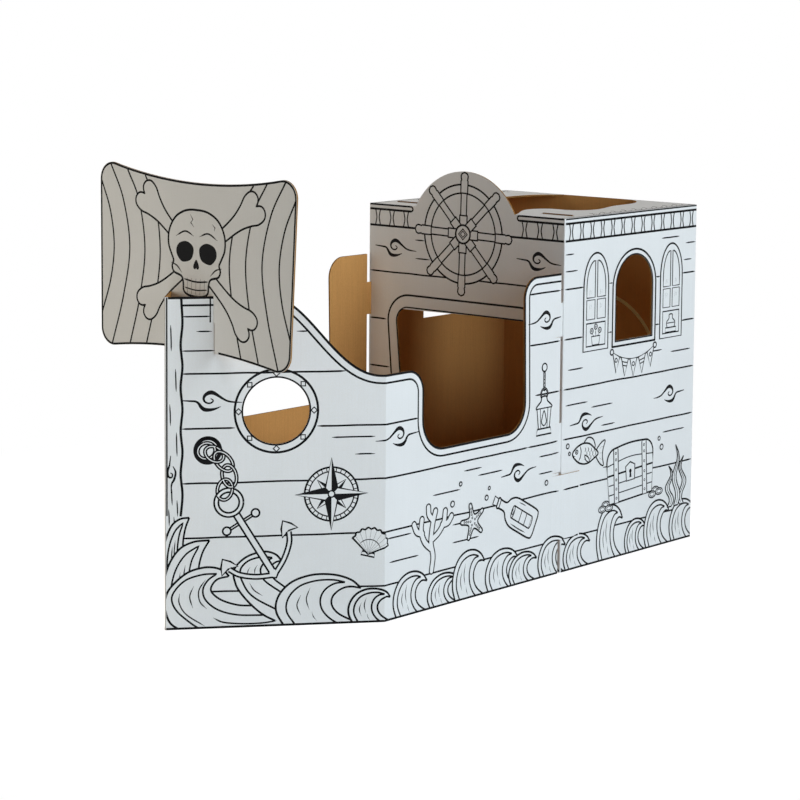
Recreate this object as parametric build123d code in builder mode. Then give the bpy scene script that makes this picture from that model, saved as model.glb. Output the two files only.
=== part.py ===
# Play ship folded from white-faced corrugated card.
# Bow towards -X, stern towards +X, up +Z, floor at Z = 0, all sizes in mm.
# The origin is on the floor, in the middle of the ship's length and width.
import os
from math import atan2, cos, hypot, radians, sin, tan

from build123d import *

os.makedirs("parts", exist_ok=True)

# Card
card = 4.0
fold_radius = 3.0
slot_clearance = 0.3

# Cabin, a tall box with four walls
cabin_width = 640.0
cabin_length = 580.0
cabin_height = 890.0

# Hull, one sheet wrapped round both sides
hull_height = 763.0
raised_height = 756.0
bow_reach = 394.0
side_reach = 674.0
hull_end_gap = 12.0
sill_height = 577.0
entry_floor = 381.0

# Derived plan positions along X, with the rounded prow fold counted in the length
half_width = cabin_width / 2
inner_y = half_width - card
bow_angle = atan2(half_width, bow_reach)
bow_panel = hypot(half_width, bow_reach)
prow_rounding = fold_radius / sin(bow_angle) - fold_radius
ship_length = bow_reach + side_reach + cabin_length
prow_x = -(ship_length + prow_rounding) / 2
shoulder_x = prow_x + bow_reach
cabin_x = shoulder_x + side_reach
stern_x = cabin_x + cabin_length
hull_end_x = cabin_x - hull_end_gap

# Bow panel: where the top edge drops, measured along the panel from the prow
drop_start = 235.0
drop_end = bow_panel - 7.6
drop_pull_start = 95.0
drop_pull_end = 110.0
porthole_along = 254.5
porthole_z = 499.0
porthole_radius = 76.0

# Entry cut-out in each side, measured forwards from the cabin
entry_front = 540.0
entry_back = 152.0
raised_front = 161.0
entry_step_radius = 54.0
entry_front_radius = 76.0
entry_back_radius = 68.0
raised_radius = 52.0

# Tabs at the hull's ends: bottom and top of each
upper_tab = (597.0, 682.0)
lower_tab = (256.0, 380.0)
outer_tab = (86.0, 250.0)
tab_bend_start = 39.0
tab_bend_end = 6.0
inner_tab_reach = 46.0
outer_tab_reach = 68.0
outer_tab_tuck = 14.0

# Front doorway
door_top = 623.0
door_sill = 250.0
door_half_top = 226.0
door_half_bottom = 190.0
door_top_radius = 36.0
door_bottom_radius = 60.0

# Arched stern door, still shut: a wide crease marks its outline on the inside
arch_radius = 207.0
arch_centre_z = 425.0
crease_width = 11.0
crease_depth = 1.2

# Arched window in each cabin side
window_back = 301.0
window_x = cabin_x + window_back
window_bottom = 564.0
window_radius = 79.5
window_spring = 699.0

# Ship's wheel disc standing above the front wall
wheel_z = 809.0
wheel_radius = 180.5

# Top flaps, folded in to make a rim round the opening
rim_front_half = 161.0
rim_front_dip = 35.0
rim_lobe_x = 171.0
rim_lobe_half = 97.0
rim_lobe_end = 205.0
rim_side_start = 212.0
rim_side_end = 178.0
rim_stern_x = 500.0
rim_stern_half = 112.0
under_flap_reach = 150.0
under_flap_half = 150.0
flap_slot_x = 76.0
flap_slot_half = 50.0
flap_slot_y = 240.0
tongue_rise = 3.0

# Sail, cross-lapped on both bow panels
sail_back = 88.0
sail_x = prow_x + sail_back
sail_half_top = 312.0
sail_half_bottom = 300.0
sail_top = 1053.5
sail_top_dip = 37.0
sail_bottom = 608.0
sail_bottom_rise = 28.0
sail_radius = 40.0
lap_z = 702.0

# How the sail sits: off the middle, and turned in its own plane about its middle
sail_shift = -9.0
sail_turn = 1.27
sail_middle = 830.0


def near(shapes, x, y):
    """The vertex of a flat outline that is nearest to a point."""
    return shapes.sort_by_distance((x, y, 0))[0]


def tab_outline(shift, tip):
    """Plan of a tab that leaves the side panel, steps over by one card and runs on to its tip."""
    start = cabin_x - tab_bend_start
    end = cabin_x - tab_bend_end
    return [
        (start, -half_width),
        (end, -half_width + shift),
        (tip, -half_width + shift),
        (tip, -inner_y + shift),
        (end, -inner_y + shift),
        (start, -inner_y),
    ]


# Hull sheet
with BuildPart() as hull:
    # One half of the wall in plan, from the prow round the shoulder to the cabin
    with BuildSketch(Plane.XY) as wall:
        with BuildLine():
            Polyline(
                (prow_x, 0),
                (shoulder_x, -half_width),
                (hull_end_x, -half_width),
                (hull_end_x, -inner_y),
                (shoulder_x + card * tan(bow_angle / 2), -inner_y),
                (prow_x + card / sin(bow_angle), 0),
                close=True,
            )
        make_face()
        fillet(near(wall.vertices(), shoulder_x, -half_width), fold_radius)
    extrude(amount=hull_height)

    # Entry cut-out and the lower sill in front of it
    with BuildSketch(Plane.XZ) as entry:
        front_x = cabin_x - entry_front
        back_x = cabin_x - entry_back
        raised_x = cabin_x - raised_front
        over_z = hull_height + 10 * card
        with BuildLine():
            Polyline(
                (shoulder_x, sill_height),
                (front_x, sill_height),
                (front_x, entry_floor),
                (back_x, entry_floor),
                (raised_x, raised_height),
                (hull_end_x, raised_height),
                (hull_end_x, over_z),
                (shoulder_x, over_z),
                close=True,
            )
        make_face()
        fillet(near(entry.vertices(), front_x, sill_height), entry_step_radius)
        fillet(near(entry.vertices(), front_x, entry_floor), entry_front_radius)
        fillet(near(entry.vertices(), back_x, entry_floor), entry_back_radius)
        fillet(near(entry.vertices(), raised_x, raised_height), raised_radius)
    extrude(amount=cabin_width, both=True, mode=Mode.SUBTRACT)

    # Bow panel: sweeping top edge and porthole, drawn on the panel itself
    bow_plane = Plane(
        origin=(prow_x, 0, 0),
        x_dir=(cos(bow_angle), -sin(bow_angle), 0),
        z_dir=(-sin(bow_angle), -cos(bow_angle), 0),
    )
    with BuildSketch(bow_plane) as sweep:
        with BuildLine():
            Line((card, hull_height), (drop_start, hull_height))
            Bezier(
                (drop_start, hull_height),
                (drop_start + drop_pull_start, hull_height),
                (drop_end - drop_pull_end, sill_height),
                (drop_end, sill_height),
            )
            Polyline(
                (drop_end, sill_height),
                (bow_panel + card, sill_height),
                (bow_panel + card, over_z),
                (card, over_z),
                (card, hull_height),
            )
        make_face()
        with Locations((porthole_along, porthole_z)):
            Circle(porthole_radius)
    extrude(amount=3 * card, both=True, mode=Mode.SUBTRACT)

    # Slot in the top edge for the sail
    with BuildSketch(Plane.XZ):
        with Locations((sail_x, lap_z)):
            Rectangle(card + 2 * slot_clearance, hull_height, align=(Align.CENTER, Align.MIN))
    extrude(amount=half_width, both=True, mode=Mode.SUBTRACT)

    # Clear the end of the panel where the tabs step away from it
    with BuildSketch(Plane.XZ):
        for low, high in (upper_tab, lower_tab, outer_tab):
            with Locations((cabin_x - tab_bend_start, low)):
                Rectangle(tab_bend_start, high - low, align=(Align.MIN, Align.MIN))
    extrude(amount=cabin_width, both=True, mode=Mode.SUBTRACT)

    # Two tabs that pass through the corner and lie inside the cabin
    for low, high in (upper_tab, lower_tab):
        with BuildSketch(Plane.XY.offset(low)):
            with BuildLine():
                Polyline(tab_outline(card, cabin_x + inner_tab_reach), close=True)
            make_face()
        extrude(amount=high - low)

    # One tab that laps the outside of the cabin and tucks in through a slot
    low, high = outer_tab
    tuck_x = cabin_x + outer_tab_reach
    with BuildSketch(Plane.XY.offset(low)):
        with BuildLine():
            Polyline(tab_outline(-card, tuck_x), close=True)
        make_face()
        with Locations((tuck_x, -half_width - card)):
            Rectangle(card, card + outer_tab_tuck, align=(Align.MIN, Align.MIN))
    extrude(amount=high - low)

    # The other half of the sheet, then the rounded fold at the prow
    mirror(about=Plane.XZ)
    fillet(hull.edges().filter_by(Axis.Z).sort_by(Axis.X)[0], fold_radius)
hull.part.label = "hull"
export_step(hull.part, "parts/hull.step")

# Cabin sheet
with BuildPart() as cabin:
    # Four walls with rounded folds at the corners
    with BuildSketch(Plane.XY):
        with Locations((cabin_x + cabin_length / 2, 0)):
            RectangleRounded(cabin_length, cabin_width, fold_radius)
            Rectangle(cabin_length - 2 * card, cabin_width - 2 * card, mode=Mode.SUBTRACT)
    extrude(amount=cabin_height)

    # Rim made by the folded flaps
    stern_in = stern_x - card
    with BuildSketch(Plane.XY.offset(cabin_height - card)) as rim:
        with Locations((cabin_x + cabin_length / 2, 0)):
            RectangleRounded(cabin_length, cabin_width, fold_radius)
        with BuildLine():
            Spline(
                (cabin_x + card, -rim_front_half),
                (cabin_x + 0.4 * rim_lobe_x, -rim_front_half + rim_front_dip),
                (cabin_x + rim_lobe_x, -rim_lobe_half),
                (cabin_x + rim_lobe_end - 4, -rim_lobe_half - 26),
                (cabin_x + rim_lobe_end, -rim_side_start + 34),
                (cabin_x + rim_lobe_end + 34, -rim_side_start),
                (cabin_x + 0.75 * rim_stern_x, -rim_side_end - 13),
                (cabin_x + rim_stern_x, -rim_side_end + 3),
                (stern_in, -rim_stern_half),
            )
            Spline(
                (cabin_x + card, rim_front_half),
                (cabin_x + 0.4 * rim_lobe_x, rim_front_half - rim_front_dip),
                (cabin_x + rim_lobe_x, rim_lobe_half),
                (cabin_x + rim_lobe_end - 4, rim_lobe_half + 26),
                (cabin_x + rim_lobe_end, rim_side_start - 34),
                (cabin_x + rim_lobe_end + 34, rim_side_start),
                (cabin_x + 0.75 * rim_stern_x, rim_side_end + 13),
                (cabin_x + rim_stern_x, rim_side_end - 3),
                (stern_in, rim_stern_half),
            )
            Line((cabin_x + card, -rim_front_half), (cabin_x + card, rim_front_half))
            Line((stern_in, -rim_stern_half), (stern_in, rim_stern_half))
        make_face(mode=Mode.SUBTRACT)
    extrude(amount=card)

    # Ends of the front flaps, lying under the side flaps
    with BuildSketch(Plane.XY.offset(cabin_height - 2 * card)):
        for side in (-1, 1):
            with Locations((cabin_x + under_flap_reach / 2, side * (under_flap_half + inner_y) / 2)):
                Rectangle(under_flap_reach, inner_y - under_flap_half)
    extrude(amount=card)

    # Slots near the front corners, each with a tongue standing in it
    with BuildSketch(Plane.XY.offset(cabin_height - card)):
        for side in (-1, 1):
            with Locations((cabin_x + flap_slot_x, side * flap_slot_y)):
                Rectangle(3 * card, 2 * flap_slot_half)
    extrude(amount=card, mode=Mode.SUBTRACT)
    with BuildSketch(Plane.XY.offset(cabin_height - card)):
        for side in (-1, 1):
            with Locations((cabin_x + flap_slot_x, side * flap_slot_y)):
                Rectangle(card, 2 * flap_slot_half - 2 * card)
    extrude(amount=card + tongue_rise)

    # Wheel disc, one with the front wall
    with BuildSketch(Plane.YZ.offset(cabin_x)):
        with Locations((0, wheel_z)):
            Circle(wheel_radius)
    extrude(amount=card)

    # Front doorway, narrower towards its foot
    with BuildSketch(Plane.YZ.offset(cabin_x)) as door:
        with BuildLine():
            Polyline(
                (-door_half_bottom, door_sill),
                (door_half_bottom, door_sill),
                (door_half_top, door_top),
                (-door_half_top, door_top),
                close=True,
            )
        make_face()
        fillet(door.vertices().group_by(Axis.Y)[-1], door_top_radius)
        fillet(door.vertices().group_by(Axis.Y)[0], door_bottom_radius)
    extrude(amount=2 * card, both=True, mode=Mode.SUBTRACT)

    # Crease round the stern door, pressed into the inside of the stern wall
    with BuildSketch(Plane.YZ.offset(stern_in)):
        for reach, mode in ((crease_width / 2, Mode.ADD), (-crease_width / 2, Mode.SUBTRACT)):
            radius = arch_radius + reach
            with Locations((0, arch_centre_z)):
                Circle(radius, mode=mode)
                Rectangle(
                    2 * radius,
                    arch_centre_z - door_sill + reach,
                    align=(Align.CENTER, Align.MAX),
                    mode=mode,
                )
    extrude(amount=crease_depth, mode=Mode.SUBTRACT)

    # Arched window in both sides
    with BuildSketch(Plane.XZ):
        with Locations((window_x, window_spring)):
            Circle(window_radius)
        with Locations((window_x, window_bottom)):
            Rectangle(
                2 * window_radius,
                window_spring - window_bottom,
                align=(Align.CENTER, Align.MIN),
            )
    extrude(amount=cabin_width, both=True, mode=Mode.SUBTRACT)

    # Slots at the front corners for the hull's inner tabs
    with BuildSketch(Plane.YZ.offset(cabin_x)):
        for side in (-1, 1):
            for low, high in (upper_tab, lower_tab):
                with Locations((side * (inner_y - card / 2 - slot_clearance / 2), (low + high) / 2)):
                    Rectangle(card + slot_clearance, high - low + 2 * slot_clearance)
    extrude(amount=card + slot_clearance, mode=Mode.SUBTRACT)

    # Slots in the sides where the outer tabs tuck in
    with BuildSketch(Plane.XZ):
        low, high = outer_tab
        with Locations((tuck_x + card / 2, (low + high) / 2)):
            Rectangle(card + 2 * slot_clearance, high - low + 2 * slot_clearance)
    extrude(amount=cabin_width, both=True, mode=Mode.SUBTRACT)

# The folded sheet as its flat panels, which meet at the folds
top_low = cabin_height - 2 * card
top_high = cabin_height + tongue_rise
panels = {
    "cabin_front": ((cabin_x, -inner_y, 0), (cabin_x + card, inner_y, wheel_z + wheel_radius)),
    "cabin_stern": ((stern_in, -inner_y, 0), (stern_x, inner_y, cabin_height)),
    "cabin_port": ((cabin_x, -half_width, 0), (stern_x, -inner_y, cabin_height)),
    "cabin_starboard": ((cabin_x, inner_y, 0), (stern_x, half_width, cabin_height)),
    "cabin_top_port": ((cabin_x + card, -inner_y, top_low), (stern_in, 0, top_high)),
    "cabin_top_starboard": ((cabin_x + card, 0, top_low), (stern_in, inner_y, top_high)),
}
for name, (low, high) in panels.items():
    with BuildPart() as panel:
        add(cabin.part)
        with Locations(tuple((a + b) / 2 for a, b in zip(low, high))):
            Box(*[b - a for a, b in zip(low, high)], mode=Mode.INTERSECT)
    panel.part.label = name
    export_step(panel.part, f"parts/{name}.step")

# Sail sheet
with BuildPart() as sail:
    cloth_plane = Plane(
        origin=(sail_x - card / 2, sail_shift, sail_middle),
        x_dir=(0, cos(radians(sail_turn)), sin(radians(sail_turn))),
        z_dir=(1, 0, 0),
    )
    top_z = sail_top - sail_middle
    bottom_z = sail_bottom - sail_middle
    with BuildSketch(cloth_plane) as cloth:
        with BuildLine():
            ThreePointArc(
                (-sail_half_top, top_z),
                (0, top_z - sail_top_dip),
                (sail_half_top, top_z),
            )
            Line((sail_half_top, top_z), (sail_half_bottom, bottom_z))
            ThreePointArc(
                (sail_half_bottom, bottom_z),
                (0, bottom_z + sail_bottom_rise),
                (-sail_half_bottom, bottom_z),
            )
            Line((-sail_half_bottom, bottom_z), (-sail_half_top, top_z))
        make_face()
        fillet(cloth.vertices(), sail_radius)
    extrude(amount=card)

    # Slots that drop over the bow panels, as wide as a slanting panel needs
    panel_half = card / 2 / cos(bow_angle) + card / 2 * tan(bow_angle) + slot_clearance
    panel_y = (sail_x - prow_x) * tan(bow_angle) - card / 2 / cos(bow_angle)
    with BuildSketch(Plane.YZ.offset(sail_x)):
        for side in (-1, 1):
            with Locations((side * panel_y, lap_z)):
                Rectangle(2 * panel_half, lap_z, align=(Align.CENTER, Align.MAX))
    extrude(amount=card, both=True, mode=Mode.SUBTRACT)
sail.part.label = "sail"
export_step(sail.part, "parts/sail.step")
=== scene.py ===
"""Play ship of white-faced corrugated card: materials, line print, studio and camera over the CAD sheets."""
import math
import random

import bmesh
import bpy
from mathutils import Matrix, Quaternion, Vector
from mathutils.geometry import tessellate_polygon


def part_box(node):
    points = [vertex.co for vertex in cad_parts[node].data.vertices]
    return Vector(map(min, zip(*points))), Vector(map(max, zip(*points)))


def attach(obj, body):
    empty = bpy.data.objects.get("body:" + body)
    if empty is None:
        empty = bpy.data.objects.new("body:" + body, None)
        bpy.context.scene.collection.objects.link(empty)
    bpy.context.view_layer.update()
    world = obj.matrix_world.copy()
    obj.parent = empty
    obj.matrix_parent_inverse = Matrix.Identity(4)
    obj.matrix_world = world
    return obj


bl_info = {
    "name": "Cardboard Play Ship",
    "version": (1, 0, 0),
    "blender": (4, 5, 0),
    "location": "3D View > Sidebar > Play Ship",
    "description": "Dresses a folded card play ship with card, cut edges and line print",
    "category": "Object",
}

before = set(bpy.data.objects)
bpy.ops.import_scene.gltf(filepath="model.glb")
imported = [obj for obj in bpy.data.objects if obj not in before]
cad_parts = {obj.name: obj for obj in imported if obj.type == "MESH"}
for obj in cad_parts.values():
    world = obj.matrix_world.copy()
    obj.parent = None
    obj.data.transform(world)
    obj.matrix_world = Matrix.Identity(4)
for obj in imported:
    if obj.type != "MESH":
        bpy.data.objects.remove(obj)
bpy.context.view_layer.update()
HULL_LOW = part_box("hull")[0]
FRONT_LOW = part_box("cabin_front")[0]
STERN_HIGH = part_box("cabin_stern")[1]
PORT_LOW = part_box("cabin_port")[0]
SAIL_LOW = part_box("sail")[0]
CABIN_NODES = (
    "cabin_front", "cabin_port", "cabin_starboard", "cabin_stern", "cabin_top_port",
    "cabin_top_starboard",
)

# Sizes of the sheets, in metres, as in the CAD model
CARD = 0.004
FOLD = 0.003
HALF = -PORT_LOW.y
BOW_REACH = 0.394
TOP = 0.890
ANGLE = math.atan2(HALF, BOW_REACH)
PROW_X = HULL_LOW.x - FOLD / math.sin(ANGLE) + FOLD
SHOULDER_X = PROW_X + BOW_REACH
CABIN_X = FRONT_LOW.x
STERN_X = STERN_HIGH.x

# How faces are told apart, in metres: how far ahead of the cabin the tabs double the side, how high a tongue
# stands over the rim, how deep the flaps reach and how far inside the walls they start
TABS_FROM = 0.038
TONGUE_RISE = 0.0045
TOUCH = 0.0002
FLAP_DEPTH = 2.2 * CARD
FLAP_START = 1.02 * CARD

# The port side unrolled, in millimetres: prow at 0, then shoulder, cabin and stern
BOW = 1000 * math.hypot(HALF, BOW_REACH)
CABIN_U = BOW + 1000 * (CABIN_X - SHOULDER_X)
STERN_U = CABIN_U + 1000 * (STERN_X - CABIN_X)

# Hull outline in millimetres: heights, the drop's four control points, then distances ahead of the cabin
HULL_TOP = 763
RAISED_TOP = 756
SILL = 577
ENTRY_FLOOR = 381
DROP = (235, 330, 390, 500)
ENTRY_FRONT = 540
ENTRY_BACK = 152
RAISED_FRONT = 161
ENTRY_RADII = (54, 76, 68, 52)
HULL_GAP = 12
PROW_EDGE = 8
POST = 38
PORTHOLE = (254.5, 499.0)

# Hawse hole, the anchor's eye below it and the chain between them
HAWSE = (98, 412)
ANCHOR = (146, 291)
ANCHOR_EYE = 28.6
ANCHOR_ROPE = 14
LINK_WIRE = 9.4

# Tabs: where they start and end their bend ahead of the cabin, the outer one's reach, and their heights
TAB_START = 39
TAB_DONE = 6
OUTER_REACH = 67
INNER_TABS = ((256, 380), (597, 682))
OUTER_TAB = (86, 250)

# Planks, the cabin's rails and its side windows
PLANK = 125.6
PLANK_LOW = 85.5
RAIL_TOP = 877
RAIL_LOW = 833.5
RAIL_EDGE = 888
BALUSTER_PITCH = 45.0
WINDOW_BACK = 301
WINDOW_LOW = 564
WINDOW_SPRING = 699
WINDOW_RADIUS = 79.5

# Front doorway: heights, half its width at the sill, how much wider it is at the top, its top corners,
# and how far print runs past its edge
DOOR_SILL = 250
DOOR_TOP = 623
DOOR_HALF = 190
DOOR_FLARE = 36
DOOR_CORNER = 36
DOOR_CORNER_U = 186.3
DOOR_OVERLAP = 0.5

# Stern door: its arch and the band round it, and how deep the crease has to be to get its painted light
ARCH_RADIUS = 207
ARCH_BAND = 240
ARCH_Z = 425
ARCH_FOOT = 245
LIT_CREASE_DEPTH = 0.3

# Sail: how it sits, and the slots in its foot
SAIL_SHIFT = -9.0
SAIL_TURN = math.radians(1.27)
SAIL_MIDDLE = 830
SLOT_INNER = 63.5
SLOT_OUTER = 80.5
SLOT_TOP = 702

# Bare margins round the print
PROW_MARGIN = 3.7
FOLD_MARGIN = 3.0
FLOOR_MARGIN = 0.4
WALL_EDGE = 317.0

# How far the print's first layer stands off the card, and each layer off the one below
FIRST_LAYER = 0.05
LAYER = 0.0022


# Flat drawing, in millimetres

def between(a, b, c, d, t):
    """Value a share t of the way from b to c, on a smooth curve through all four."""
    square = 2 * a - 5 * b + 4 * c - d
    cube = 3 * b - a - 3 * c + d
    return 0.5 * (2 * b + (c - a) * t + square * t * t + cube * t ** 3)


def curve(points, closed=False, step=5.0):
    """Smooth curve through the points, as a close row of points."""
    count = len(points)
    out = []
    spans = count if closed else count - 1
    for i in range(spans):
        if closed:
            p0, p1, p2, p3 = (points[(i + k) % count] for k in (-1, 0, 1, 2))
        else:
            p1, p2 = points[i], points[i + 1]
            p0 = points[i - 1] if i else [2 * a - b for a, b in zip(p1, p2)]
            p3 = points[i + 2] if i + 2 < count else [2 * b - a for a, b in zip(p1, p2)]
        parts = max(2, int(math.dist(p1[:2], p2[:2]) / step) + 1)
        for k in range(parts):
            t = k / parts
            out.append(tuple(between(*values, t) for values in zip(p0, p1, p2, p3)))
    if not closed:
        out.append(tuple(points[-1]))
    return out


def arc(x, y, radius, start, end, flat=1.0, step=6.0):
    """Arc about (x, y) between two angles in degrees; flat squashes it upwards."""
    parts = max(6, int(abs(end - start) * math.pi / 180 * radius / step) + 1)
    out = []
    for k in range(parts + 1):
        a = math.radians(start + (end - start) * k / parts)
        out.append((x + radius * math.cos(a), y + flat * radius * math.sin(a)))
    return out


def ring(x, y, radius, flat=1.0):
    """Closed circle as a row of points."""
    return arc(x, y, radius, 0, 360, flat, max(1.5, radius / 10))[:-1]


def rounded(points, radii):
    """Path with its corners rounded; a radius of 0 leaves a corner sharp."""
    out = []
    last = len(points) - 1
    for i, point in enumerate(points):
        radius = radii[i]
        if i in (0, last) or not radius:
            out.append(tuple(point))
            continue
        p = Vector(point)
        a = (Vector(points[i - 1]) - p).normalized()
        b = (Vector(points[i + 1]) - p).normalized()
        turn = a.angle(b)
        reach = radius / math.tan(turn / 2)
        centre = p + (a + b).normalized() * radius / math.sin(turn / 2)
        start = p + a * reach - centre
        sweep = math.pi - turn
        if a.x * b.y - a.y * b.x > 0:
            sweep = -sweep
        for k in range(13):
            angle = sweep * k / 12
            c, s = math.cos(angle), math.sin(angle)
            out.append((centre.x + c * start.x - s * start.y, centre.y + s * start.x + c * start.y))
    return out


def aside(points, distance):
    """The path moved to its left by a distance."""
    out = []
    for i, p in enumerate(points):
        a = Vector(points[max(0, i - 1)])
        b = Vector(points[min(len(points) - 1, i + 1)])
        d = (b - a).normalized()
        out.append((p[0] - d.y * distance, p[1] + d.x * distance))
    return out


def flanks(p, along, half):
    """The points half a width to the left and to the right of p, square to the way along."""
    dx, dy = along.y * half, along.x * half
    return (p[0] - dx, p[1] + dy), (p[0] + dx, p[1] - dy)


def moved(points, x, y, turn=0.0, size=1.0):
    """Points turned by degrees, sized and moved."""
    c, s = math.cos(math.radians(turn)), math.sin(math.radians(turn))
    out = []
    for px, py in points:
        px, py = px * size, py * size
        out.append((x + c * px - s * py, y + s * px + c * py))
    return out


def whole(half):
    """A half outline that starts and ends on the middle line, with its mirror image."""
    return half + [(-x, y) for x, y in reversed(half[1:-1])]


class Flat:
    """Line art on one flat sheet, in millimetres: ink ribbons and paper patches stacked in layers."""

    def __init__(self, look):
        self.faces = []
        self.lift = FIRST_LAYER
        self.line = look.line_width * 1000
        self.rand = random.Random(7)

    def over(self):
        """What follows lies over what is drawn so far."""
        self.lift += LAYER

    def strip(self, sides, kind, closed=False):
        """Faces between neighbouring pairs of side points."""
        following = sides[1:] + sides[:1] if closed else sides[1:]
        for (l0, r0), (l1, r1) in zip(sides, following):
            self.faces.append(([r0, r1, l1, l0], self.lift, kind))

    def band(self, points, width, kind=0, closed=False, taper=0.0):
        """Ribbon along the points, thinner towards its ends where it tapers."""
        count = len(points)
        if count < 2:
            return
        length = sum(math.dist(points[i], points[i + 1]) for i in range(count - 1))
        run = 0.0
        sides = []
        for i, p in enumerate(points):
            if closed:
                a, b = points[i - 1], points[(i + 1) % count]
            else:
                a, b = points[max(0, i - 1)], points[min(count - 1, i + 1)]
            d = Vector(b) - Vector(a)
            if d.length < 1e-6:
                d = Vector((1, 0))
            d.normalize()
            if i:
                run += math.dist(points[i - 1], p)
            half = width / 2
            if taper and not closed:
                half *= max(0.22, min(1.0, run / taper, (length - run) / taper))
            sides.append(flanks(p, d, half))
        self.strip(sides, kind, closed)

    def brush(self, points):
        """Stroke whose third values are its own widths along the way, in line widths."""
        path = curve(points, step=3)
        sides = []
        for i, p in enumerate(path):
            a, b = path[max(0, i - 1)], path[min(len(path) - 1, i + 1)]
            d = Vector((b[0] - a[0], b[1] - a[1])).normalized()
            sides.append(flanks(p, d, max(0.2, p[2]) * self.line / 2))
        self.strip(sides, 0)

    def ink(self, points, weight=1.0, closed=False, taper=9.0):
        """Inked line; weight is in line widths."""
        self.band(points, self.line * weight, 0, closed, taper)

    def area(self, outline, kind=1):
        """Filled outline: 0 is ink, 1 is paper."""
        loop = [Vector((p[0], p[1], 0)) for p in outline]
        for tri in tessellate_polygon([loop]):
            pts = [outline[k] for k in tri]
            (ax, ay), (bx, by), (cx, cy) = pts
            if (bx - ax) * (cy - ay) - (by - ay) * (cx - ax) < 0:
                pts.reverse()
            self.faces.append((pts, self.lift, kind))

    def rule(self, points, weight=1.0):
        """Inked line of one width from end to end."""
        self.ink(points, weight, taper=0)

    def patch(self, outline, kind=1):
        """Filled outline over what is drawn so far."""
        self.over()
        self.area(outline, kind)

    def shape(self, outline, weight=1.0):
        """Paper patch with an inked outline, over what is drawn so far."""
        self.patch(outline)
        self.over()
        self.ink(outline, weight, closed=True)

    def tube(self, points, width, weight=1.0, ends=True):
        """Round-ended white band with an inked outline."""
        for inset, kind in ((0, 0), (self.line * weight, 1)):
            self.over()
            self.band(points, width - 2 * inset, kind)
            for p in (points[0], points[-1]) if ends else ():
                self.area(ring(*p, width / 2 - inset), kind)

    def wavy(self, a, b, weight=1.0, sway=0.7):
        """Nearly straight line from a to b, drawn by hand."""
        span = math.dist(a, b)
        parts = max(2, int(span / 45))
        points = []
        for k in range(parts + 1):
            t = k / parts
            off = 0 if k in (0, parts) else self.rand.uniform(-sway, sway)
            nx, ny = -(b[1] - a[1]) / span, (b[0] - a[0]) / span
            points.append((a[0] + (b[0] - a[0]) * t + nx * off, a[1] + (b[1] - a[1]) * t + ny * off))
        self.ink(curve(points, step=12), weight, taper=10)


# Motifs

def knot(art, x, y, size=1.0, mirror=False, flip=False):
    """Scroll of wood grain: a curl with a long tail and a bold stroke beside it."""
    def put(pts):
        return [(x + (-a if mirror else a) * size, y + (-b if flip else b) * size, w) for a, b, w in pts]
    art.brush(put([
        (2.5, 3, 0.5), (8.2, -1.7, 0.8), (4.5, -6.8, 0.9), (-3, -8, 0.9), (-10.4, -4.5, 1.0),
        (-13.4, 2.3, 1.3), (-10.4, 10.2, 1.7), (-3, 15.3, 2.1), (4, 16.5, 2.2), (12, 14, 1.9),
        (19.4, 9.1, 1.5), (29.8, 2.3, 1.2), (40.3, -3.5, 1.0), (53.7, -6.3, 0.9), (74, -7.5, 0.35),
    ]))
    art.brush(put([
        (-66, -0.6, 0.5), (-46, -2, 0.9), (-31.3, -3.4, 1.1), (-24.5, -8.5, 1.4), (-19.4, -16, 1.8),
        (-12.7, -21.6, 2.1), (-3, -23.3, 1.9), (7.5, -22.2, 1.4), (16.4, -19.8, 0.9), (25.4, -16, 0.3),
    ]))


def hooked(art, back, hollow, foot=(), weight=1.15, taper=0):
    """Body of a wave over what is drawn so far: its back and its hollow meet at the tip."""
    art.patch(back + hollow[1:] + list(foot))
    art.over()
    art.rule(back, weight)
    art.ink(hollow, weight - 0.1, taper=taper)


def wave(art, x, width, height):
    """One curling wave standing on the bottom edge: a hook within a hook."""
    def put(pts):
        return curve([(x + width * a, height * b) for a, b in pts], step=4)
    back = put([
        (0.10, -0.02), (0.0, 0.30), (0.03, 0.60), (0.18, 0.86), (0.42, 0.99), (0.68, 0.98), (0.88, 0.87),
        (1.0, 0.70),
    ])
    hollow = put([
        (1.0, 0.70), (0.86, 0.735), (0.74, 0.67), (0.66, 0.53), (0.66, 0.36), (0.74, 0.20), (0.90, 0.06),
        (1.05, -0.02),
    ])
    hooked(art, back, hollow)
    art.rule(put([
        (0.24, -0.02), (0.125, 0.28), (0.145, 0.55), (0.27, 0.77), (0.46, 0.87), (0.66, 0.88),
        (0.81, 0.825),
    ]), 1.0)
    art.rule(put([
        (0.81, 0.825), (0.68, 0.80), (0.57, 0.68), (0.52, 0.50), (0.54, 0.30), (0.63, 0.12),
        (0.76, -0.02),
    ]), 1.0)
    for pts in ([(0.29, 0.60), (0.245, 0.40), (0.29, 0.20)], [(0.40, 0.74), (0.355, 0.52), (0.39, 0.30)],
                [(0.42, 0.26), (0.44, 0.16), (0.48, 0.08)]):
        art.ink(put(pts), 0.6, taper=14)


def waves(art, *row):
    """Row of waves, back ones first: start, width and height of each."""
    for start, width, height in row:
        wave(art, start, width, height)


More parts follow.
